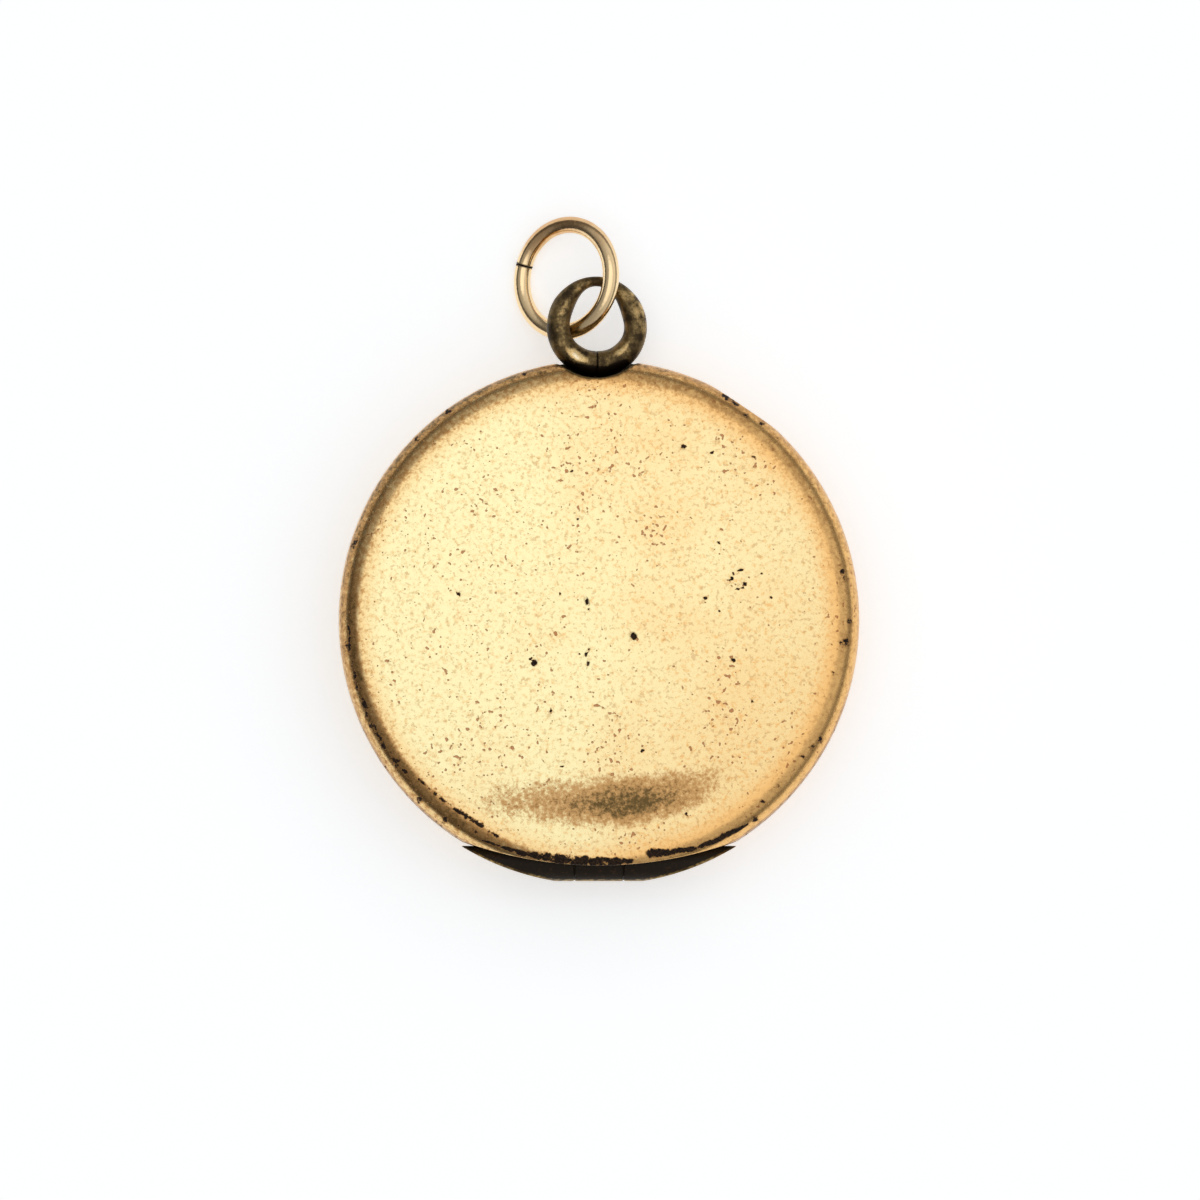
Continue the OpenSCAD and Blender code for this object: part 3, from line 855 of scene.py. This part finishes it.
# ---------------------------------------------------------------- case shells
def shell_sections(theta, half_h, cap):
    """Walk over the sheet of one case half: out over the face, round the rim and back inside."""
    outer = outer_outline(theta)
    inner = np.minimum(inner_outline(theta), outer - THINNEST)
    wall_under = surface_height(outer - THINNEST, half_h, SHEET, cap - SHEET)
    at_notch = np.abs(theta - BOW_DIRECTION) < NOTCH_SPAN
    no_wall = (outer < INNER_R) & ~at_notch
    y = np.sin(theta) * (outer + inner) / 2
    barrel = np.sqrt(np.maximum((BARREL_R + TURN_GAP) ** 2 - (y - HINGE_Y) ** 2, 0))
    over_barrel = (np.abs(np.cos(theta) * outer) < SLOT_HALF) & (y < 0)
    low = np.where(no_wall, wall_under, np.where(over_barrel, barrel, 0))
    middle = CASE_R - SHOULDER_R
    tangent = middle * DOME_R / (DOME_R - SHOULDER_R)
    start_turn = math.asin((tangent - middle) / SHOULDER_R)
    sections = []
    for edge, inside, floor_z in zip(outer, inner, low):
        flat = np.linspace(FACE_START, tangent, FACE_STEPS, endpoint=False)
        end_turn = math.asin(min(max((edge - middle) / SHOULDER_R, 0), 1))
        turn = np.linspace(start_turn, end_turn, TURN_STEPS)
        over = np.concatenate([flat, middle + SHOULDER_R * np.sin(turn)])
        over_z = surface_height(over, half_h, 0, cap)
        face = np.stack([over, over_z], axis=1)
        corner = np.array([edge, over_z[-1]])
        foot = np.array([edge, max(corner[1] - EDGE_EASE, floor_z + LEAST_WALL)])
        bend = softened(face[-2], corner, foot, 6)
        low_corner = np.array([edge, floor_z])
        wall_end = low_corner + [0, FOOT_EASE]
        wall = np.linspace(foot, wall_end, 6)[1:]
        under = softened(wall_end, low_corner, low_corner - [FOOT_EASE, 0], 4)[1:]
        step = np.array([[inside, floor_z]])
        sill = surface_height(np.array([inside]), half_h, SHEET, cap - SHEET)[0]
        inner_wall = np.linspace([inside, floor_z], [inside, max(sill, floor_z + 0.01)], 5)[1:]
        back = np.linspace(inside, middle, 8)[1:]
        back = np.concatenate([back, np.linspace(middle, AXIS_GAP, 18)[1:]])
        back_z = surface_height(back, half_h, SHEET, cap - SHEET)
        inner_face = np.stack([back, back_z], axis=1)
        sections.append(np.vstack([face[:-2], bend, wall, under, step, inner_wall, inner_face]))
    face_rows = FACE_STEPS + TURN_STEPS - 2
    return np.array(sections), face_rows


def case_shell(name, half_h, is_front, masks, relief):
    """One stamped half of the case, with its dings cut in and its wear, stains and painted shade kept as
    masks.
    """
    theta = directions(420, CASE_ZONES)
    cap = half_h if is_front else SPLIT_Z
    sections, face_rows = shell_sections(theta, half_h, cap)
    points, faces = turned_shell(theta, sections, cap, cap - SHEET)
    rows = sections.shape[1]
    on_face = np.zeros(len(points), bool)
    on_face[: len(theta) * rows] = np.tile(np.arange(rows) < face_rows, len(theta))
    on_face[len(theta) * rows] = True
    points[on_face, 2] -= relief(points)[on_face]
    worn, stain_and_shade = masks(points)
    mesh = half_mesh(name, points, faces, is_front, 50)
    paint(mesh, "worn", worn)
    paint(mesh, "stain_and_shade", stain_and_shade)
    return mesh


# ---------------------------------------------------------------- fittings
def bar_points(radius, x0, x1, chamfer, sides):
    """Rings of a bar along the hinge axis, with its ends chamfered."""
    turn = np.linspace(0, 2 * math.pi, sides, endpoint=False)
    small = radius - chamfer
    rings = []
    for x, r in ((x0, small), (x0 + chamfer, radius), (x1 - chamfer, radius), (x1, small)):
        circle = (np.full(sides, x), HINGE_Y + r * np.cos(turn), SPLIT_Z + r * np.sin(turn))
        rings.append(np.stack(circle, axis=1))
    return np.concatenate(rings)


def solid_object(name, points, faces):
    """Throwaway object, still in millimetres, for cutting with."""
    if signed_volume(points, faces) < 0:
        faces = [face[::-1] for face in faces]
    mesh = bpy.data.meshes.new(name)
    mesh.from_pydata(points.tolist(), [], faces)
    solid = bpy.data.objects.new(name, mesh)
    bpy.context.scene.collection.objects.link(solid)
    return solid


def ringed_solid(name, points, sides):
    """Solid through successive rings of points, capped at both ends."""
    count = len(points) // sides
    faces = grid_faces(count, sides, False, True)
    faces.append(tuple(range(sides)))
    faces.append(tuple(reversed(range((count - 1) * sides, count * sides))))
    return solid_object(name, points, faces)


def hinge_bar(name, radius, x0, x1, chamfer=0.01, sides=96):
    """Throwaway round bar along the hinge axis."""
    return ringed_solid(name, bar_points(radius, x0, x1, chamfer, sides), sides)


def drum(name, centre, radius, low, high, sides):
    """Upright cylinder for cutting with."""
    turn = np.linspace(0, 2 * math.pi, sides, endpoint=False)
    x, y = centre[0] + radius * np.cos(turn), centre[1] + radius * np.sin(turn)
    points = np.concatenate([np.column_stack([x, y, np.full(sides, z)]) for z in (low, high)])
    return ringed_solid(name, points, sides)


def carve(solid, tool, operation):
    """Cuts solid with tool, then throws the tool away."""
    modifier = solid.modifiers.new(operation, "BOOLEAN")
    modifier.operation = operation
    modifier.solver = "EXACT"
    modifier.object = tool
    bake(solid)
    bpy.data.objects.remove(tool)


def bake(solid):
    """Turns an object's modifiers into its mesh."""
    bpy.context.view_layer.update()
    evaluated = solid.evaluated_get(bpy.context.evaluated_depsgraph_get())
    mesh = bpy.data.meshes.new_from_object(evaluated)
    solid.modifiers.clear()
    solid.data = mesh


def eased(solid, width, angle=35):
    """Breaks a solid's edges with a small bevel, brings it to metres and gives its mesh."""
    bevel = solid.modifiers.new("eased_edges", "BEVEL")
    bevel.width = width
    bevel.segments = 2
    bevel.limit_method = "ANGLE"
    bevel.angle_limit = math.radians(angle)
    bake(solid)
    mesh = solid.data
    bpy.data.objects.remove(solid)
    mesh.transform(Matrix.Scale(MM, 4))
    mesh.shade_smooth()
    mesh.set_sharp_from_angle(angle=math.radians(50))
    return mesh


def points_of(mesh):
    """A mesh's points, in millimetres."""
    flat = np.zeros(len(mesh.vertices) * 3)
    mesh.vertices.foreach_get("co", flat)
    return flat.reshape(-1, 3) / MM


def knuckle_mesh(name, x0, x1, bore):
    """One knuckle of the barrel, filed to the case's outline and bored for the pin."""
    solid = hinge_bar(name, BARREL_R, x0, x1, 0.04)
    carve(solid, drum("file", (0, 0), OUTLINE_R, 0, 2 * SPLIT_Z, CASE_SIDES), "INTERSECT")
    carve(solid, hinge_bar("bore", bore, x0 - 1, x1 + 1, 0.01, 64), "DIFFERENCE")
    return eased(solid, 0.02)


def pin_mesh(name):
    """The hinge pin, filed flush with the knuckles, with a dark filling round it in both seams, standing
    for dirt and painted shade.
    """
    solid = hinge_bar(name, PIN_R, -SLOT_HALF, SLOT_HALF, 0.01, 64)
    dirt_and_shade_half = SEAM_HALF * 0.9
    for middle in (-CENTRE_HALF, CENTRE_HALF):
        dirt_and_shade = hinge_bar("dirt_and_shade", BARREL_R - 0.05, middle - dirt_and_shade_half, middle + dirt_and_shade_half)
        carve(solid, dirt_and_shade, "UNION")
    carve(solid, drum("file", (0, 0), OUTLINE_R - 0.004, 0, 2 * SPLIT_Z, CASE_SIDES), "INTERSECT")
    mesh = eased(solid, 0.004)
    points = points_of(mesh)
    away = np.hypot(points[:, 1] - HINGE_Y, points[:, 2] - SPLIT_Z)
    paint(mesh, "seam", away > PIN_R + 0.02)
    return mesh


def solder_mesh(name):
    """Dark solder that fills the back's notch under the bow's foot."""
    low, high = SPLIT_Z - BOW_FOOT_T, SPLIT_Z - 0.02
    solid = drum(name, BOW_CENTRE, NOTCH_R, low, high, 160)
    carve(solid, drum("rim", (0, 0), CASE_R - 0.03, low - 1, high + 1, CASE_SIDES), "INTERSECT")
    return eased(solid, 0.05)


def half_mesh(name, points, faces, is_front, sharp=40):
    """Mesh of what was drawn up from the split, put into the lid or turned over into the back."""
    points[:, 2] = SPLIT_Z + points[:, 2] if is_front else SPLIT_Z - points[:, 2]
    return mesh_from(name, points, faces, sharp)


def pan_floor(half_h):
    """Height above the split of a liner's floor, which clears the inside of the dome."""
    under_dome = surface_height(np.array([PAN_R + LINER_T]), half_h, SHEET, math.inf)[0]
    return under_dome - PAN_GAP - LINER_T


def liner_mesh(name, half_h, flange, is_front):
    """Stamped liner: rounded flange, pan wall and flat floor."""
    floor_z = pan_floor(half_h)
    outside, floor_back, flange_back = PAN_R + LINER_T, floor_z + LINER_T, flange + LINER_T
    theta = directions(240, CASE_ZONES)
    sections = []
    for edge in seat_outline(theta) - FITTED_GAP:
        path = [(AXIS_GAP, floor_z), (PAN_R, floor_z), (PAN_R, flange), (edge, flange)]
        path += [(edge, flange_back), (outside, flange_back), (outside, floor_back)]
        path += [(AXIS_GAP, floor_back)]
        sections.append(rounded_path(path, (0.2, 0.14, 0.06, 0.06, 0.05, 0.25)))
    points, faces = turned_shell(theta, np.array(sections), floor_z, floor_back)
    return half_mesh(name, points, faces, is_front)


def disc_mesh(name, low, high, ease, is_front):
    """Card or clear disc with eased edges."""
    edge = PAN_R - SEAT_GAP
    path = rounded_path([(AXIS_GAP, low), (edge, low), (edge, high), (AXIS_GAP, high)], (ease, ease))
    theta = directions(160)
    points, faces = turned_shell(theta, np.array([path] * len(theta)), low, high)
    return half_mesh(name, points, faces, is_front)


def bezel_mesh(name, foot, flange, is_front):
    """Bezel ring with a sloping inner face and softened edges."""
    edge = PAN_R - SEAT_GAP
    inner, slope_top = edge - BEZEL_W, edge - BEZEL_W * BEZEL_FLAT
    corners = [(edge, foot), (edge, flange), (slope_top, flange), (inner, foot - 0.1), (inner, foot)]
    loop = rounded_loop(corners, (0.03, 0.06, 0.09, 0.04, 0.02), 5)
    theta = directions(240)
    points, faces = turned_ring(theta, np.array([loop] * len(theta)), True)
    return half_mesh(name, points, faces, is_front)


def open_directions():
    """Directions of the rim rings, which are open at the hinge bearer."""
    theta = directions(300, CASE_ZONES)
    theta = theta[seat_outline(theta) > LAND_R + 0.12]
    theta = np.where(theta > 1.5 * math.pi, theta - 2 * math.pi, theta)
    return np.sort(theta)


def snap_rim_mesh(name):
    """The back's land with its snap lip, which is cut away at the hinge and at the bow."""
    theta = open_directions()
    beyond_slot, cut_lip = 0.6, 0.012
    at_hinge = (np.abs(np.cos(theta) * LIP_R) < SLOT_HALF + beyond_slot) & (np.sin(theta) < 0)
    at_bow = ray_to_circle(theta, BOW_CENTRE, NOTCH_R + SHEET + 2 * LIP_GAP, False) < LIP_R + 0.05
    heights = np.where(at_hinge | at_bow, cut_lip, LIP_H)
    sections = []
    for edge, lip in zip(seat_outline(theta) - FITTED_GAP, heights):
        lip_out = min(LIP_R, edge - LEAST_RIM)
        lip_in = min(LIP_R - LIP_T, lip_out - LEAST_RIM)
        corners = [(LAND_R, 0), (lip_in, 0), (lip_in, -lip), (lip_out, -lip)]
        corners += [(lip_out, 0), (edge, 0), (edge, LAND_T), (LAND_R, LAND_T)]
        sections.append(rounded_loop(corners, (0.03, 0.02, 0.07, 0.09, 0.02, 0.02, 0.02, 0.03)))
    points, faces = turned_ring(theta, np.array(sections), False)
    return half_mesh(name, points, faces, False)


def rim_ring_mesh(name):
    """The lid's rim ring, whose inner face the snap lip closes against, with its web."""
    theta = open_directions()
    groove = LIP_H + GROOVE_ROOM
    sections = []
    for edge in seat_outline(theta) - FITTED_GAP:
        inner = min(LIP_R + LIP_GAP, edge - LEAST_RIM)
        foot = 0 if edge > LIP_R + LIP_GAP + 0.1 else groove - LEAST_RIM
        corners = [(inner, foot), (edge, foot), (edge, FRONT_SEAT)]
        corners += [(LAND_R, FRONT_SEAT), (LAND_R, groove), (inner, groove)]
        sections.append(rounded_loop(corners, (0.07, 0.02, 0.02, 0.03, 0.03, 0.03)))
    points, faces = turned_ring(theta, np.array(sections), False)
    return half_mesh(name, points, faces, True)


# ---------------------------------------------------------------- bow and jump ring
def bow_thickness(angle):
    """Wire thickness at an angle from the bow's top."""
    c = np.cos(angle)
    upper = BOW_SIDE_T - (BOW_SIDE_T - BOW_TOP_T) * c ** 4
    lower = BOW_SIDE_T + (BOW_FOOT_T - BOW_SIDE_T) * c ** 2
    return np.where(c > 0, upper, lower)


def bow_lumps(angle, around):
    """Unevenness of the bow's wire, from its angle round the loop and round the wire."""
    x, y = 2.2 * np.sin(angle), 2.2 * np.cos(angle)
    z = 1.1 * np.sin(around) + 0.9 * np.cos(around)
    return np.array([noise.noise(Vector(place)) for place in zip(x, y, z)])


def near_angle(angle, middle, half):
    """1 at one angle round the bow, in degrees, and dying away over half degrees."""
    return np.exp(-((np.degrees(angle) - middle) / half) ** 2)


def bow_mesh(name):
    """The bow's worn wire, swept round with its own thickness at each angle."""
    steps, sides = 220, 56
    angle = np.repeat(np.linspace(0, 2 * math.pi, steps, endpoint=False), sides)
    around = np.tile(np.linspace(0, 2 * math.pi, sides, endpoint=False), steps)
    half = bow_thickness(angle) / 2
    lump = bow_lumps(angle, around)
    # A seam where the wire's two ends meet at the foot.
    from_seam = np.abs(angle - math.pi - 0.03) * (BOW_R - 0.6)
    seam = np.clip(1 - (from_seam / 0.055) ** 2, 0, 1)
    size = half - 0.016 * (lump + 0.4) - 0.05 * seam
    radius = BOW_R - half + size * np.cos(around)
    x, y, z = radius * np.sin(angle), radius * np.cos(angle), size * np.sin(around)
    cos, sin = math.cos(BOW_TWIST), math.sin(BOW_TWIST)
    across, up = BOW_CENTRE[0] + x * cos + z * sin, SPLIT_Z - x * sin + z * cos
    points = np.stack([across, BOW_CENTRE[1] + y, up], axis=1)
    mesh = mesh_from(name, points, grid_faces(steps, sides, True, True), 60)
    facing = np.sin(around)
    outward = np.cos(around)
    left = near_angle(angle, 300, 34)
    right = near_angle(angle, 72, 40)
    low_left = near_angle(angle, 217, 20)
    low_right = near_angle(angle, 135, 22)
    ridge = np.exp(-((around - math.pi * 0.5) / 0.55) ** 2)
    inside_ridge = np.exp(-((around - math.pi * 0.62) / 0.30) ** 2)
    rubbed = 0.75 * right * np.clip(facing * 0.6 + outward * 0.5, 0, 1) + 0.55 * left * ridge
    rubbed = np.maximum(rubbed, 1.25 * low_left * ridge)
    rubbed = np.maximum(rubbed, 0.85 * low_right * inside_ridge)
    rubbed = np.maximum(rubbed, 0.35 * np.clip(facing, 0, 1))
    # The foot's side facing into the notch is painted black: patina with painted shade.
    foot = np.exp(-((np.degrees(angle) - 180) / 42) ** 4)
    rubbed = rubbed - 1.3 * foot * smoothstep(outward, 0.05, 0.45)
    paint(mesh, "rubbed", rubbed)
    paint(mesh, "seam", np.sqrt(seam) * (outward < 0.35))
    return mesh


def jump_ring_tree(material):
    """Geometry Nodes tree: a round wire bent to a circle with a cut, given its sizes by name."""
    tree = bpy.data.node_groups.new("cut_ring_wire", "GeometryNodeTree")
    for label in ("Ring radius", "Wire radius", "Cut angle", "Cut at"):
        tree.interface.new_socket(label, in_out="INPUT", socket_type="NodeSocketFloat")
    tree.interface.new_socket("Geometry", in_out="OUTPUT", socket_type="NodeSocketGeometry")
    given = tree.nodes.new("NodeGroupInput").outputs
    sweep = maths(tree, "SUBTRACT", 2 * math.pi, given["Cut angle"])
    start = maths(tree, "ADD", given["Cut at"], times(tree, given["Cut angle"], 0.5))
    arc_inputs = {"Resolution": 200, "Radius": given["Ring radius"]}
    arc_inputs.update({"Start Angle": start, "Sweep Angle": sweep})
    arc = add(tree, "GeometryNodeCurveArc", arc_inputs).outputs["Curve"]
    circle_inputs = {"Resolution": 40, "Radius": given["Wire radius"]}
    circle = add(tree, "GeometryNodeCurvePrimitiveCircle", circle_inputs).outputs["Curve"]
    wire_inputs = {"Curve": arc, "Profile Curve": circle, "Fill Caps": True}
    wire = add(tree, "GeometryNodeCurveToMesh", wire_inputs).outputs["Mesh"]
    real = add(tree, "GeometryNodeRealizeInstances", {"Geometry": wire}).outputs["Geometry"]
    painted = add(tree, "GeometryNodeSetMaterial", {"Geometry": real, "Material": material})
    add(tree, "NodeGroupOutput", {"Geometry": painted.outputs["Geometry"]})
    return tree


def mesh_from_tree(name, tree, values):
    """Runs a Geometry Nodes tree with its inputs set by name, and keeps the result as a plain mesh."""
    carrier = bpy.data.objects.new(name + "_carrier", bpy.data.meshes.new(name + "_carrier"))
    bpy.context.scene.collection.objects.link(carrier)
    modifier = carrier.modifiers.new("nodes", "NODES")
    modifier.node_group = tree
    for item in tree.interface.items_tree:
        if item.item_type == "SOCKET" and item.in_out == "INPUT":
            modifier[item.identifier] = values[item.name]
    bpy.context.view_layer.update()
    evaluated = carrier.evaluated_get(bpy.context.evaluated_depsgraph_get())
    mesh = bpy.data.meshes.new_from_object(evaluated)
    mesh.name = name
    carrier.modifiers.remove(modifier)
    bpy.data.objects.remove(carrier)
    return mesh


def close_cut(mesh, radius):
    """Closes the ring's cut to a hair's width and paints shade along it."""
    points = points_of(mesh)
    angle = np.arctan2(points[:, 1], points[:, 0])
    beyond = angle - RING_CUT_AT
    from_cut = np.arctan2(np.sin(beyond), np.cos(beyond)) * radius
    at_end = np.abs(from_cut) < RING_CUT / 2 + 0.02
    shift = -np.sign(from_cut) * (RING_CUT / 2 - HAIR) * at_end
    points[:, 0] += shift * -math.sin(RING_CUT_AT)
    points[:, 1] += shift * math.cos(RING_CUT_AT)
    mesh.vertices.foreach_set("co", (points * MM).ravel())
    # Painted shade along the cut.
    paint(mesh, "seam", np.where(at_end, 1.4, 0.0))


def jump_ring_mesh(name, material):
    """The jump ring, leaning on the bow with its lower side on the table."""
    radius = (RING_D - RING_WIRE) / 2
    sizes = {
        "Ring radius": radius * MM,
        "Wire radius": RING_WIRE / 2 * MM,
        "Cut angle": RING_CUT / radius,
        "Cut at": RING_CUT_AT,
    }
    mesh = mesh_from_tree(name, jump_ring_tree(material), sizes)
    close_cut(mesh, radius)
    centre = Vector((*BOW_CENTRE, SPLIT_Z)) + Vector(RING_OFFSET)
    turn = Matrix.Rotation(RING_TURN, 4, "Z") @ Matrix.Rotation(-RING_LEAN, 4, "Y")
    mesh.transform(Matrix.Translation(centre * MM) @ turn)
    mesh.shade_smooth()
    mesh.set_sharp_from_angle(angle=math.radians(45))
    return mesh


# ---------------------------------------------------------------- studio
def set_sky():
    """Soft studio all round: a bright panel overhead and a duller room, lighter behind on the right."""
    world = bpy.data.worlds.new("studio")
    bpy.context.scene.world = world
    world.use_nodes = True
    tree = world.node_tree
    tree.nodes.clear()
    x, y, z = along_axes(tree, add(tree, "ShaderNodeTexCoord").outputs["Generated"])
    flat = length_of(tree, x, y)
    panel = ramp_between(tree, flat, 0.34, 0.60, 1.0, 0.0)
    slope = weighted(tree, x, -0.40, y, 0.14)
    panel_light = times(tree, panel, maths(tree, "ADD", slope, 0.58))
    room = maths(tree, "ADD", weighted(tree, x, 0.26, y, 0.12), 0.52)
    horizon = ramp_between(tree, flat, 0.86, 0.96, 1.0, 0.34)
    above = maths(tree, "ADD", panel_light, times(tree, room, horizon))
    up = ramp_between(tree, z, -0.02, 0.0)
    below = times(tree, maths(tree, "SUBTRACT", 1.0, up), 0.95)
    light = maths(tree, "ADD", times(tree, above, up), below)
    background = add(tree, "ShaderNodeBackground", {"Color": colour(1, 1, 1), "Strength": light})
    add(tree, "ShaderNodeOutputWorld", {"Surface": background.outputs[0]})


def set_floor():
    """Plain white sweep, lit a little from below as on a light table."""
    half = 1.5
    corners = [(-half, -half, 0), (half, -half, 0), (half, half, 0), (-half, half, 0)]
    mesh = bpy.data.meshes.new("floor")
    mesh.from_pydata(corners, [], [(0, 1, 2, 3)])
    material, _, surface = new_finish("white_sweep")
    surface.inputs["Base Color"].default_value = colour(0.90, 0.92, 0.94)
    surface.inputs["Roughness"].default_value = 0.9
    surface.inputs["Specular IOR Level"].default_value = 0.0
    surface.inputs["Emission Color"].default_value = colour(0.985, 0.995, 1.0)
    surface.inputs["Emission Strength"].default_value = 0.465
    mesh.materials.append(material)
    floor = bpy.data.objects.new("floor", mesh)
    floor.location.z = -0.01 * MM
    bpy.context.scene.collection.objects.link(floor)


def set_camera():
    """Long lens straight above, leaning a little towards the hinge."""
    data = bpy.data.cameras.new("camera")
    data.lens = 300
    camera = bpy.data.objects.new("camera", data)
    bpy.context.scene.collection.objects.link(camera)
    seen_width = 57.7
    distance = seen_width * data.lens / data.sensor_width
    lean = math.radians(2.5)
    target = Vector((0.05, 0.99, SPLIT_Z))
    camera.location = (target + distance * Vector((0, -math.sin(lean), math.cos(lean)))) * MM
    camera.rotation_euler = (lean, 0, 0)
    bpy.context.scene.camera = camera
    bpy.context.scene.view_settings.view_transform = "Standard"


# ---------------------------------------------------------------- the locket
set_camera()
set_sky()
set_floor()

case_gold = gold_filled("gold_filled")
barrel = barrel_gold("barrel_gold")
gilt = inner_gold("inner_gold")
patina = bow_patina("bow_patina")
ring_gold = rose_gold("rose_gold")
solder = dull_metal("solder", LIGHT_SOLDER, DARK_SOLDER, 0.45)
steel = dull_metal("pin_steel", LIGHT_STEEL, DARK_STEEL, 0.38)
card = aged_card("card")
clear = celluloid("celluloid")


lid = case_shell("lid_shell", FRONT_H, True, lid_masks, lid_relief)
rear = case_shell("rear_shell", BACK_H, False, back_masks, no_relief)
ring = jump_ring_mesh("split_ring", ring_gold)
place("lid_shell", lid, case_gold, "front_case", ["front_shell"], "gold_filled")
place("rear_shell", rear, case_gold, "back_case", ["back_shell"], "gold_filled")
place("bow_wire", bow_mesh("bow_wire"), patina, "back_case", ["bow"], "bow_patina")
place("split_ring", ring, ring_gold, "jump_ring", ["jump_ring"], "rose_gold")

seam_left, seam_right = CENTRE_HALF - SEAM_HALF, CENTRE_HALF + SEAM_HALF
KNUCKLES = (
    ("left_knuckle", "back_case", -SLOT_HALF, -seam_right, PIN_R),
    ("right_knuckle", "back_case", seam_right, SLOT_HALF, PIN_R),
    ("centre_knuckle", "front_case", -seam_left, seam_left, PIN_R + PIN_GAP),
)
for node, body, from_x, to_x, bore in KNUCKLES:
    name = node + "_filed"
    place(name, knuckle_mesh(name, from_x, to_x, bore), barrel, body, [node], "gold_filled")
place("pin", pin_mesh("pin"), steel, "back_case", ["hinge_pin"], "pin_steel")
place("solder_fillet", solder_mesh("solder_fillet"), solder, "back_case", ["bow_solder_seat"], "solder")

INSIDES = (("back", "back_case", BACK_H, LAND_T), ("front", "front_case", FRONT_H, FRONT_SEAT))
for side, body, half_h, flange in INSIDES:
    is_front = side == "front"
    floor_z = pan_floor(half_h)
    card_z = floor_z - CARD_T
    clear_z = card_z - CRYSTAL_T
    disc_low, disc_high = clear_z + HAIR / 2, card_z - HAIR / 2
    pan = liner_mesh(side + "_pan", half_h, flange, is_front)
    blank = disc_mesh(side + "_blank_card", card_z, floor_z, 0.02, is_front)
    disc = disc_mesh(side + "_clear_disc", disc_low, disc_high, 0.04, is_front)
    bezel = bezel_mesh(side + "_bezel_ring", clear_z, flange, is_front)
    place(side + "_pan", pan, gilt, body, [side + "_liner"], "inner_gold")
    place(side + "_blank_card", blank, card, body, [side + "_photo_card"], "card")
    place(side + "_clear_disc", disc, clear, body, [side + "_crystal"], "celluloid")
    place(side + "_bezel_ring", bezel, gilt, body, [side + "_bezel"], "inner_gold")
place("snap_rim", snap_rim_mesh("snap_rim"), gilt, "back_case", ["back_snap_rim"], "inner_gold")
place("rim_ring", rim_ring_mesh("rim_ring"), gilt, "front_case", ["front_rim_ring"], "inner_gold")

for node in ("back_hinge_bearer", "front_hinge_bearer"):
    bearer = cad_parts[node]
    bearer.data.materials.clear()
    bearer.data.materials.append(gilt)
